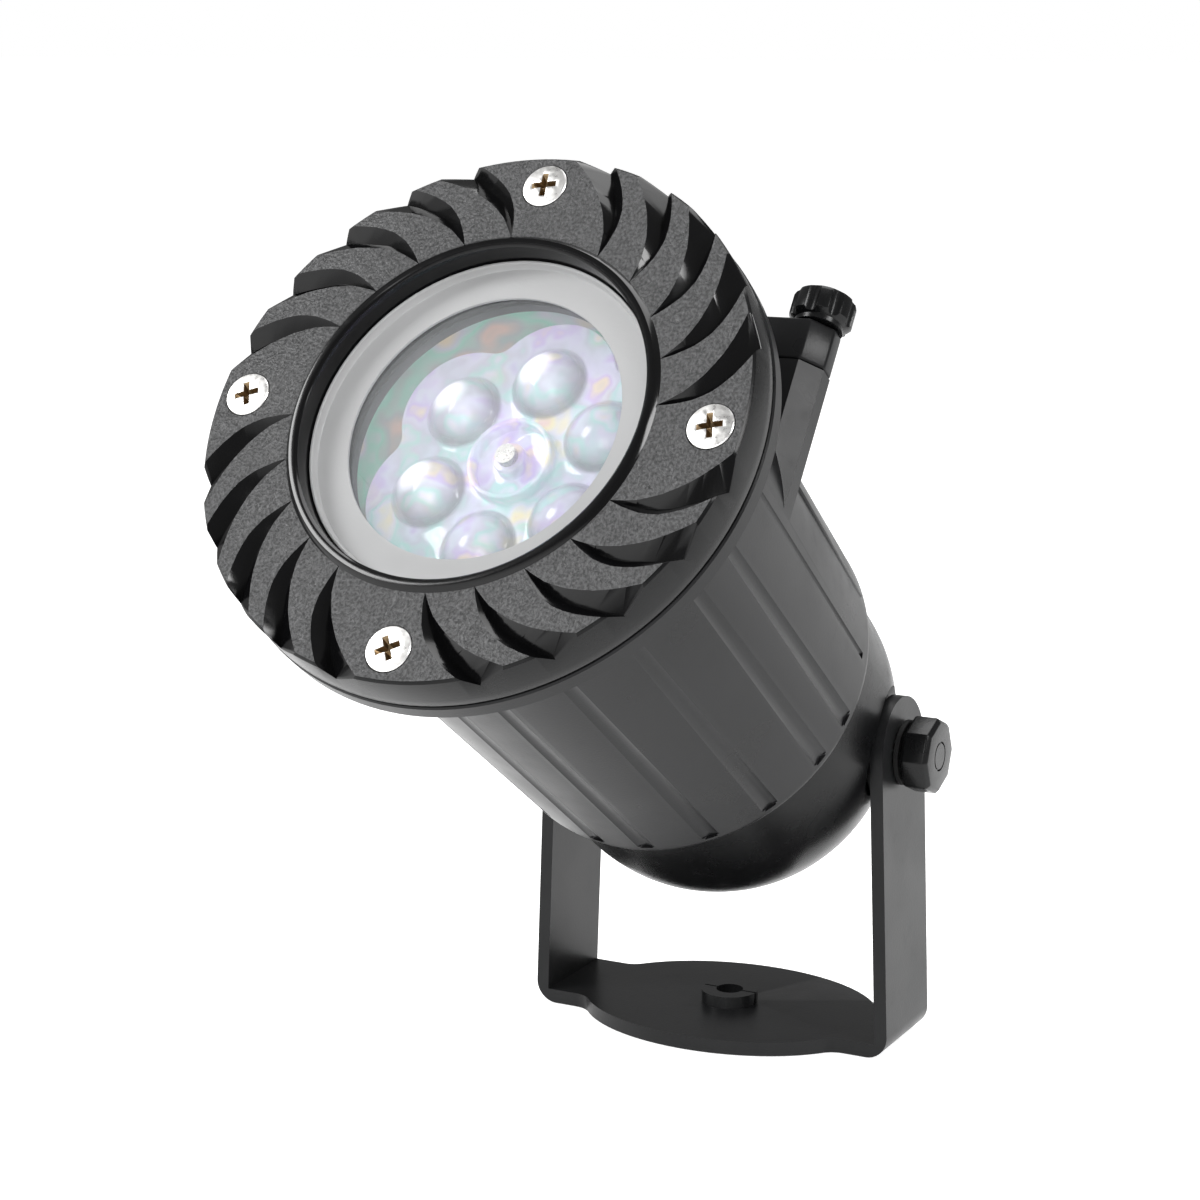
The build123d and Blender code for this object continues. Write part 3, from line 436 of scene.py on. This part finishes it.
for node, finish in NODE_FINISHES.items():
    bpy.data.objects[node].data.materials.clear()
    bpy.data.objects[node].data.materials.append(finish)


# ---- modelling ------------------------------------------------------------------
def alone(piece):
    """Select one object and nothing else."""
    if bpy.context.mode != "OBJECT":
        bpy.ops.object.mode_set(mode="OBJECT")
    bpy.ops.object.select_all(action="DESELECT")
    piece.select_set(True)
    bpy.context.view_layer.objects.active = piece


def shaped(piece, kind, **settings):
    """Add a modifier to a piece and apply it."""
    alone(piece)
    made = piece.modifiers.new(kind.lower(), kind)
    for key, value in settings.items():
        setattr(made, key, value)
    bpy.ops.object.modifier_apply(modifier=made.name)


def softened(piece, width, segments=2, angle=32):
    """Round every edge sharper than the angle, by a width in millimetres."""
    shaped(
        piece,
        "BEVEL",
        width=width * MM,
        segments=segments,
        limit_method="ANGLE",
        angle_limit=radians(angle),
        harden_normals=False,
        use_clamp_overlap=True,
    )


def carved(piece, cutter, operation="DIFFERENCE"):
    """Cut one piece with another, which is used up."""
    shaped(
        piece,
        "BOOLEAN",
        operation=operation,
        object=cutter,
        solver="EXACT",
        material_mode="TRANSFER",
    )
    bpy.data.objects.remove(cutter)


def one_piece(piece):
    """Drop the loose crumbs a cut leaves behind, keeping the main shape."""
    alone(piece)
    bpy.ops.object.mode_set(mode="EDIT")
    cage = bmesh.from_edit_mesh(piece.data)
    bpy.ops.mesh.select_all(action="DESELECT")
    cage.verts.ensure_lookup_table()
    nearest = min(cage.verts, key=lambda vertex: vertex.co.x**2 + vertex.co.y**2)
    nearest.select = True
    cage.select_flush_mode()
    bpy.ops.mesh.select_linked()
    bpy.ops.mesh.select_all(action="INVERT")
    bpy.ops.mesh.delete(type="VERT")
    bpy.ops.object.mode_set(mode="OBJECT")


def drawn(name, points):
    """A line of vertices through points in millimetres, left in edit mode."""
    bpy.ops.object.select_all(action="DESELECT")
    bpy.ops.mesh.primitive_plane_add(size=MM, location=(0, 0, 0))
    piece = bpy.context.object
    piece.name = name
    bpy.ops.object.mode_set(mode="EDIT")
    bpy.ops.mesh.select_all(action="SELECT")
    bpy.ops.mesh.merge(type="CENTER")
    bpy.ops.transform.translate(value=Vector(points[0]) * MM)
    for last, point in zip(points, points[1:]):
        step = (Vector(point) - Vector(last)) * MM
        bpy.ops.mesh.extrude_vertices_move(TRANSFORM_OT_translate={"value": step})
    return piece


def closed_up(piece):
    """Merge doubles, turn the faces outwards and leave edit mode."""
    bpy.ops.mesh.select_all(action="SELECT")
    bpy.ops.mesh.remove_doubles(threshold=0.0000008)
    bpy.ops.mesh.normals_make_consistent(inside=False)
    bpy.ops.object.mode_set(mode="OBJECT")
    return piece


def spun(name, profile, finish, steps=128):
    """Turned shape about Z from (radius, height) points, in millimetres."""
    points = [(radius, 0, height) for radius, height in profile]
    if profile[0][0] > 0 and profile[-1][0] > 0:
        points.append(points[0])
    piece = drawn(name, points)
    bpy.ops.mesh.select_all(action="SELECT")
    bpy.ops.mesh.spin(steps=steps, angle=2 * pi, center=(0, 0, 0), axis=(0, 0, 1))
    closed_up(piece)
    piece.data.materials.append(finish)
    return piece


def slab(name, outline, depth, finish):
    """Flat outline of points, pushed out along a vector, in millimetres."""
    piece = drawn(name, outline)
    bpy.ops.mesh.select_all(action="SELECT")
    bpy.ops.mesh.edge_face_add()
    bpy.ops.mesh.extrude_region_move(TRANSFORM_OT_translate={"value": Vector(depth) * MM})
    closed_up(piece)
    piece.data.materials.append(finish)
    return piece


def rod(name, radius, length, middle, vertices, finish):
    """Plain round bar about Z, to be laid, cut with or softened."""
    bpy.ops.object.select_all(action="DESELECT")
    bpy.ops.mesh.primitive_cylinder_add(
        vertices=vertices, radius=radius * MM, depth=length * MM, location=(0, 0, middle)
    )
    bar = bpy.context.object
    bar.name = name
    bpy.ops.object.transform_apply(location=True, rotation=True, scale=True)
    bar.data.materials.append(finish)
    return bar


def turned(angle, radius=0.0, spin=0.0):
    """Swing about Z by an angle, out to a radius, with a spin of its own."""
    swing = Matrix.Rotation(radians(angle), 4, "Z")
    return swing @ Matrix.Translation((radius * MM, 0, 0)) @ Matrix.Rotation(radians(spin), 4, "Z")


def copies(piece, places):
    """Copies of a piece at some places, each with its own mesh, joined into one."""
    made = []
    for place in places:
        copy = piece.copy()
        copy.data = piece.data.copy()
        bpy.context.collection.objects.link(copy)
        copy.matrix_world = place
        made.append(copy)
    bpy.data.objects.remove(piece)
    bpy.ops.object.select_all(action="DESELECT")
    for copy in made:
        copy.select_set(True)
    bpy.context.view_layer.objects.active = made[0]
    bpy.ops.object.join()
    bpy.ops.object.transform_apply(location=True, rotation=True, scale=True)
    return bpy.context.object


def settled(piece, place, body, slot, *nodes, angle=35):
    """Move a finished piece to its place in the model and attach it to its body."""
    alone(piece)
    piece.matrix_world = place
    bpy.ops.object.transform_apply(location=True, rotation=True, scale=True)
    bpy.ops.object.shade_smooth_by_angle(angle=radians(angle))
    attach(piece, body)
    if nodes:
        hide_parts(*nodes)
    return piece


def traced(node, name, finish):
    """A copy of a CAD node's own shape, merged and cleaned for finishing."""
    source = bpy.data.objects[node]
    piece = bpy.data.objects.new(name, source.data.copy())
    bpy.context.collection.objects.link(piece)
    piece.data.materials.clear()
    piece.data.materials.append(finish)
    alone(piece)
    bpy.ops.object.mode_set(mode="EDIT")
    bpy.ops.mesh.select_all(action="SELECT")
    bpy.ops.mesh.remove_doubles(threshold=0.000002)
    bpy.ops.mesh.dissolve_limited(angle_limit=radians(1.0), delimit={"NORMAL"})
    bpy.ops.object.mode_set(mode="OBJECT")
    return piece


def between(table, value):
    """Straight-line reading of a small table of (position, value) pairs."""
    for (low, start), (high, end) in zip(table, table[1:]):
        if value <= high:
            return start + (end - start) * max(0.0, value - low) / (high - low)
    return table[-1][1]


# ---- bezel ------------------------------------------------------------------------
GROOVES_PER_QUARTER = 5
FIRST_GROOVE_ANGLE = 5.4
GROOVE_PITCH = 14.85

# Each groove's two edges and its floor as (radius, angle), and its depth as (radius, drop).
GROOVE_LEADING = [
    (34.4, 0.0),
    (38.7, 3.6),
    (42.1, 7.5),
    (46.0, 12.8),
    (48.2, 16.4),
    (50.5, 20.1),
    (53.0, 24.1),
]
GROOVE_FLOOR = [(34.4, 0.0), (39.6, 2.9), (43.0, 5.3), (45.9, 8.6), (49.7, 12.4), (53.0, 16.2)]
GROOVE_TRAILING = [
    (34.4, -0.2),
    (36.6, 0.0),
    (40.2, 0.9),
    (43.4, 2.6),
    (46.4, 5.4),
    (48.6, 8.0),
    (50.3, 10.1),
    (53.0, 13.4),
]
GROOVE_DROP = [(34.4, 0.02), (37.0, 0.9), (40.0, 1.6), (44.0, 2.2), (48.0, 2.8), (53.0, 3.6)]
GROOVE_STATIONS = [34.5, 35.6, 37.0, 38.7, 40.4, 42.1, 43.8, 45.5, 47.2, 48.9, 50.6, 52.6]
GROOVE_TOP = 0.05


def groove_cutter():
    """Leaning leaf with a V floor, modelled once at angle zero."""
    rows = len(GROOVE_STATIONS)
    bpy.ops.object.select_all(action="DESELECT")
    bpy.ops.mesh.primitive_grid_add(x_subdivisions=2, y_subdivisions=rows - 1, size=10 * MM)
    piece = bpy.context.object
    bpy.ops.object.mode_set(mode="EDIT")
    cage = bmesh.from_edit_mesh(piece.data)
    cage.verts.ensure_lookup_table()
    for row, radius in enumerate(GROOVE_STATIONS):
        drop = between(GROOVE_DROP, radius)
        columns = (
            (GROOVE_LEADING, GROOVE_TOP),
            (GROOVE_FLOOR, -drop),
            (GROOVE_TRAILING, GROOVE_TOP),
        )
        for column, (table, height) in enumerate(columns):
            turn = radians(between(table, radius))
            cage.verts.ensure_lookup_table()
            bpy.ops.mesh.select_all(action="DESELECT")
            vertex = cage.verts[row * len(columns) + column]
            vertex.select = True
            cage.select_flush_mode()
            target = Vector((radius * cos(turn), radius * sin(turn), FACE_Z + height)) * MM
            bpy.ops.transform.translate(value=target - vertex.co)
    bpy.ops.mesh.select_all(action="SELECT")
    bpy.ops.mesh.extrude_region_move(TRANSFORM_OT_translate={"value": (0, 0, 3 * MM)})
    closed_up(piece)
    piece.data.materials.append(BEZEL_GLOSS)
    return piece


def bezel():
    """Front ring with a raised lip, leaning grooves and four screw seats."""
    profile = [
        (32.2, 125.8),
        (32.2, 133.1),
        (32.7, 133.5),
        (33.7, 133.5),
        (34.4, 132.9),
        (34.55, FACE_Z),
        (50.5, FACE_Z),
        (50.95, 132.2),
        (51.05, 126.0),
        (51.1, 124.3),
        (50.7, 124.1),
        (50.7, SEAM_Z),
        (33.7, SEAM_Z),
        (33.7, 125.8),
    ]
    piece = spun("bezel", profile, BEZEL_GRAIN, TURNED_STEPS)
    piece.data.materials.append(BEZEL_GLOSS)
    piece.data.materials.append(BEZEL_SIDE)
    for face in piece.data.polygons:
        reach = Vector(face.center[:2]).length / MM
        if reach < 34.5:
            face.material_index = 1
        elif reach > 50.6:
            face.material_index = 2
    places = [
        turned(90 * quarter + FIRST_GROOVE_ANGLE + GROOVE_PITCH * step)
        for quarter in range(4)
        for step in range(GROOVES_PER_QUARTER)
    ]
    carved(piece, copies(groove_cutter(), places))
    one_piece(piece)
    sink = [(0, 118.0), (2.15, 118.0), (2.15, 130.3), (4.33, 132.72), (4.4, 134.5), (0, 134.5)]
    seats = [turned(angle, SCREW_CIRCLE) for angle in (0, 90, 180, 270)]
    carved(piece, copies(spun("sink", sink, BEZEL_GLOSS, 48), seats))
    softened(piece, 0.16, 2, 34)
    return settled(piece, HEAD, "head", "bezel_plastic", "front_bezel", angle=30)


def bezel_screw_set():
    """Four countersunk screws, each with its cross left at its own angle."""
    profile = [
        (0, 121.4),
        (1.95, 121.4),
        (1.95, 130.4),
        (4.1, 132.55),
        (4.18, 132.75),
        (4.0, 132.95),
        (3.2, 133.1),
        (1.8, 133.2),
        (0, 133.24),
    ]
    screw = spun("screw", profile, SCREW_HEAD, 48)
    for turn in (0, 90):
        bpy.ops.object.select_all(action="DESELECT")
        bpy.ops.mesh.primitive_cube_add(size=1, location=(0, 0, 132.6 * MM))
        bar = bpy.context.object
        bar.scale = (5.0 * MM, 1.15 * MM, 2.0 * MM)
        bpy.ops.object.transform_apply(location=True, rotation=True, scale=True)
        bpy.ops.object.mode_set(mode="EDIT")
        cage = bmesh.from_edit_mesh(bar.data)
        bpy.ops.mesh.select_all(action="DESELECT")
        for face in cage.faces:
            face.select = face.normal.z < -0.5
        cage.select_flush_mode()
        bpy.ops.transform.resize(value=(0.62, 0.7, 1))
        bpy.ops.object.mode_set(mode="OBJECT")
        bar.rotation_euler = (0, 0, radians(turn))
        bar.data.materials.append(SCREW_RECESS)
        carved(screw, bar)
    softened(screw, 0.1, 2, 40)
    places = [
        turned(90 * quarter, SCREW_CIRCLE, spin) for quarter, spin in enumerate((14, 8, 20, 28))
    ]
    piece = copies(screw, places)
    piece.name = "bezel_screw_set"
    return settled(piece, HEAD, "head", "zinc_screws", "bezel_screws")


def window_ring():
    """Pale stepped ring that holds the window."""
    profile = [
        (25.5, 126.6),
        (25.5, 127.1),
        (25.8, 127.25),
        (31.25, 127.3),
        (31.4, 127.5),
        (31.45, 128.95),
        (31.6, 129.1),
        (31.9, 129.1),
        (32.0, 128.95),
        (32.0, 125.75),
        (33.4, 125.7),
        (33.4, SEAM_Z),
        (30.2, SEAM_Z),
        (30.2, 126.6),
    ]
    piece = spun("window_ring", profile, RING, TURNED_STEPS)
    return settled(piece, HEAD, "head", "pale_ring_plastic", "glass_ring")


# ---- barrel, slide box and dome ----------------------------------------------------
def box_outline(height, gap=0.0):
    """The slide box seen from above, with clipped corners, drawn at a height."""
    half = 40.0 - gap
    front, rear = 91.5 - gap, 82.0 + gap
    right = [(half - 3.7, front), (half, front - 3.7), (half, rear + 2.4), (half - 2.4, rear)]
    left = [(-x, z) for x, z in reversed(right)]
    return [(x, height, z) for x, z in right + left]


# Angles from the top of the barrel, the same on both sides.
FLUTE_ANGLES = (172.3, 153.0, 134.3, 115.0, 101.5)
PARTING_ANGLE = 83.0
PANEL_ANGLE = 63.0


def barrel():
    """Flange, tapered barrel and slide box, with flutes outside and a pale bore."""
    profile = [
        (BORE_RADIUS, BARREL_REAR_Z),
        (38.75, BARREL_REAR_Z),
        (39.1, BARREL_REAR_Z + 0.25),
        (39.2, BARREL_REAR_Z + 0.6),
        (39.15 + BARREL_TAPER, BARREL_REAR_Z + 1.2),
        (BARREL_FRONT_RADIUS - 0.25, FLANGE_REAR_Z - 0.6),
        (BARREL_FRONT_RADIUS + 0.4, FLANGE_REAR_Z),
        (50.9, FLANGE_REAR_Z),
        (51.25, FLANGE_REAR_Z + 0.35),
        (51.28, SEAM_Z - 0.5),
        (51.0, SEAM_Z - 0.12),
        (39.0, SEAM_Z - 0.12),
        (39.0, 122.5),
        (27.0, 122.5),
        (27.0, 120.4),
        (BORE_RADIUS, BORE_FRONT_Z),
    ]
    piece = spun("barrel", profile, HOUSING, TURNED_STEPS)
    body = slab("box", box_outline(0), (0, 36.8, 0), HOUSING)
    carved(piece, body, "UNION")
    cap_space = slab("cap_space", box_outline(36.8, -0.3), (0, 9, 0), HOUSING)
    carved(piece, cap_space)
    opening = [(0, 30), (BORE_RADIUS, 30), (BORE_RADIUS, BORE_FRONT_Z), (0, BORE_FRONT_Z)]
    carved(piece, spun("bore", opening, LINER, TURNED_STEPS))
    for angle in FLUTE_ANGLES:
        for side in (-1, 1):
            carve_flute(piece, 90 - side * angle, 0.5, 33.4, FLANGE_REAR_Z - 1.0, 3.4)
            carve_flute(piece, 90 - side * angle, 0.55, 32.8, 34.2, 1.8)
    for side in (-1, 1):
        carve_flute(piece, 90 - side * PARTING_ANGLE, 0.45, 35.0, 112.0, 0.7)
    softened(piece, 0.22, 2, 34)
    lining = piece.data.materials.find(LINER.name)
    for face in piece.data.polygons:
        if face.center.xy.length < 36.7 * MM and 31 * MM < face.center.z < 121 * MM:
            face.material_index = lining
    settled(piece, HEAD, "head", "housing_plastic", "barrel_housing", angle=20)
    for side, name in ((-1, "left"), (1, "right")):
        rail = edge_rail("panel_edge_" + name, 90 - side * PANEL_ANGLE, 34.0, 82.0)
        settled(rail, HEAD, "head", "housing_plastic")
    return piece


def along_barrel(piece, angle, lift):
    """Lay a bar modelled along Z onto the barrel's taper at an angle."""
    lean = Matrix.Rotation(BARREL_TAPER, 4, "Y")
    place = Matrix.Translation(((BARREL_REAR_RADIUS + lift) * MM, 0, BARREL_REAR_Z * MM))
    piece.matrix_world = Matrix.Rotation(radians(angle), 4, "Z") @ place @ lean
    alone(piece)
    bpy.ops.object.transform_apply(location=True, rotation=True, scale=True)
    return piece


def from_barrel_rear(start, end):
    """Middle of a stretch of the barrel, in metres from its rear end."""
    return ((start + end) / 2 - BARREL_REAR_Z) * MM


def carve_flute(piece, angle, depth, start, end, radius):
    """One shallow lengthwise flute in the barrel."""
    cutter = rod("flute", radius, end - start, from_barrel_rear(start, end), 24, HOUSING)
    carved(piece, along_barrel(cutter, angle, radius - depth))


def edge_rail(name, angle, start, end):
    """The low rounded edge of the barrel's top panel."""
    rail = rod(name, 0.6, end - start, from_barrel_rear(start, end), 16, HOUSING)
    softened(rail, 0.3, 2, 40)
    return along_barrel(rail, angle, -0.25)


def slide_box_cap():
    """Lid of the slide box, hollow underneath for the slide's top edge."""
    piece = slab("slide_box_cap", box_outline(37.1), (0, 8.4, 0), HOUSING)
    inside = slab(
        "inside",
        [(-27, 36.5, 84.35), (27, 36.5, 84.35), (27, 36.5, 89.15), (-27, 36.5, 89.15)],
        (0, 5.5, 0),
        HOUSING,
    )
    carved(piece, inside)
    softened(piece, 0.45, 3, 34)
    return settled(piece, HEAD, "slide_carrier", "housing_plastic", "slide_cap")


def dome():
    """Domed back with its pivot bosses, from the model's own shape."""
    piece = traced("rear_dome", "dome", DOME)
    softened(piece, 0.25, 2, 34)
    return settled(piece, WORLD, "head", "dome_plastic", "rear_dome", angle=20)


# ---- bracket and knobs ---------------------------------------------------------------
def bracket():
    """U bracket and base plate, from the model's own shape."""
    piece = traced("yoke_bracket", "bracket", BRACKET)
    softened(piece, 0.35, 2, 34)
    return settled(piece, WORLD, "bracket", "bracket_plastic", "yoke_bracket", angle=20)


def hand_knob(name, radius, length, flutes, notch, shoulder):
    """Moulded knob along Z with soft flutes and a domed, ringed end."""
    profile = [
        (0, 0),
        (shoulder, 0),
        (shoulder, 0.9),
        (radius - 0.5, 1.2),
        (radius, 1.7),
        (radius, length - 1.3),
        (radius - 0.3, length - 0.6),
        (radius - 1.1, length - 0.2),
        (radius * 0.55, length - 0.1),
        (radius * 0.5, length - 0.28),
        (radius * 0.45, length - 0.1),
        (0, length),
    ]
    piece = spun(name, profile, KNOB, 96)
    cutter = rod("notch", notch, length * 2, length * MM, 20, KNOB)
    reach = radius + notch * 0.42
    carved(piece, copies(cutter, [turned(360 / flutes * step, reach) for step in range(flutes)]))
    softened(piece, 0.25, 3, 34)
    return piece


def flat_sided_knob(name, radius, length):
    """Eight-sided moulded knob with a ring on its flat end."""
    profile = [
        (0, 0),
        (radius * 0.8, 0),
        (radius * 0.8, 0.7),
        (radius - 0.3, 0.9),
        (radius, 1.3),
        (radius, length - 0.9),
        (radius - 0.9, length - 0.15),
        (0, length - 0.15),
    ]
    piece = spun(name, profile, KNOB, 8)
    softened(piece, 0.55, 3, 20)
    floor, top = length - 0.45, length + 1
    mark = [(2.6, floor), (3.0, floor), (3.0, top), (2.6, top)]
    carved(piece, spun("mark", mark, KNOB, 48))
    return piece


TILT_KNOB_RADIUS = 7.8


def tilt_knobs():
    """The two hand knobs on the tilt axis, as long as the model's own."""
    for side, name in ((-1, "left"), (1, "right")):
        low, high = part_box("pivot_knob_" + name)
        knob = flat_sided_knob("tilt_knob_" + name, TILT_KNOB_RADIUS, (high[0] - low[0]) / MM)
        start = low[0] if side > 0 else high[0]
        stand = Matrix.Translation((start, 0, PIVOT_Z * MM))
        place = stand @ Matrix.Rotation(radians(90 * side), 4, "Y")
        settled(knob, place, "tilt_knob_" + name, "knob_plastic", "pivot_knob_" + name)


def cap_knobs():
    """The two small thumb knobs on top of the slide box."""
    for side, name in ((-1, "left"), (1, "right")):
        knob = hand_knob(
            "box_knob_" + name, radius=5.9, length=6.6, flutes=8, notch=1.4, shoulder=4.6
        )
        stand = Matrix.Translation((side * 36.0 * MM, 45.9 * MM, BOX_MID_Z * MM))
        place = HEAD @ stand @ Matrix.Rotation(radians(-90), 4, "X")
        settled(knob, place, "cap_screw_" + name, "knob_plastic", "cap_knob_" + name)


# ---- lens plate --------------------------------------------------------------------------
def lens_plate():
    """Clear turning plate with its six lenses, from the model's own shape."""
    piece = traced("lens_disc", "lens_plate", LENS)
    softened(piece, 0.3, 3, 34)
    return settled(piece, WORLD, "lens_rotor", "clear_lens", "lens_disc", angle=40)


bezel()
bezel_screw_set()
window_ring()
barrel()
slide_box_cap()
dome()
bracket()
tilt_knobs()
cap_knobs()
lens_plate()


# ---- floor, lights and camera --------------------------------------------------
CAMERA_PLACE = (0.240, -0.51823, 0.20247)
CAMERA_TURN = 27.59
CAMERA_RISE = 11.27
LAMP_TARGET = (0, -0.03, 0.1)
# name, place in metres, side in metres, watts
SOFTBOXES = (
    ("key_softbox", (-0.7, -0.55, 0.75), 0.35, 7.0),
    ("front_softbox", (0.1, -1.0, 0.55), 0.4, 3.0),
    ("right_softbox", (0.92, -0.2, 0.72), 0.35, 7.0),
    ("top_softbox", (0.0, 0.35, 1.1), 0.7, 7.0),
)


def studio():
    """Plain pale floor, white air, four softboxes and the camera."""
    bpy.ops.object.select_all(action="DESELECT")
    bpy.ops.mesh.primitive_plane_add(size=40, location=(0, 0, -0.0002))
    floor = bpy.context.object
    floor.name = "studio_floor"
    paper = Finish("studio_paper", (0.88, 0.88, 0.88), 0.5)
    paper.set("Emission Color", (1.0, 1.0, 1.0, 1.0))
    paper.set("Emission Strength", 0.74)
    floor.data.materials.append(paper.material)

    world = bpy.data.worlds.new("studio_air")
    world.use_nodes = True
    air = world.node_tree
    seen = air.nodes["Background"]
    seen.inputs["Color"].default_value = (1.0, 1.0, 1.0, 1)
    seen.inputs["Strength"].default_value = 1.0
    fill = air.nodes.new("ShaderNodeBackground")
    fill.inputs["Color"].default_value = (1.0, 1.0, 1.0, 1)
    fill.inputs["Strength"].default_value = 0.3
    path = air.nodes.new("ShaderNodeLightPath")
    mix = air.nodes.new("ShaderNodeMixShader")
    air.links.new(path.outputs["Is Camera Ray"], mix.inputs[0])
    air.links.new(fill.outputs[0], mix.inputs[1])
    air.links.new(seen.outputs[0], mix.inputs[2])
    air.links.new(mix.outputs[0], air.nodes["World Output"].inputs["Surface"])
    bpy.context.scene.world = world

    for name, place, size, power in SOFTBOXES:
        lamp = bpy.data.lights.new(name, "AREA")
        lamp.energy = power
        lamp.size = size
        box = bpy.data.objects.new(name, lamp)
        box.location = place
        aim = Vector(LAMP_TARGET) - Vector(place)
        box.rotation_euler = aim.to_track_quat("-Z", "Y").to_euler()
        bpy.context.collection.objects.link(box)

    lens = bpy.data.cameras.new("catalogue_camera")
    lens.lens = 85.22
    lens.sensor_width = 36.0
    lens.clip_start = 0.01
    camera = bpy.data.objects.new("catalogue_camera", lens)
    turn, rise = radians(CAMERA_TURN), radians(CAMERA_RISE)
    right = Vector((cos(turn), sin(turn), 0))
    back = Vector((sin(turn) * cos(rise), -cos(turn) * cos(rise), sin(rise)))
    facing = Matrix((right, back.cross(right), back)).transposed().to_4x4()
    camera.matrix_world = Matrix.Translation(CAMERA_PLACE) @ facing
    bpy.context.collection.objects.link(camera)
    bpy.context.scene.camera = camera
    bpy.context.scene.view_settings.view_transform = "Standard"


studio()
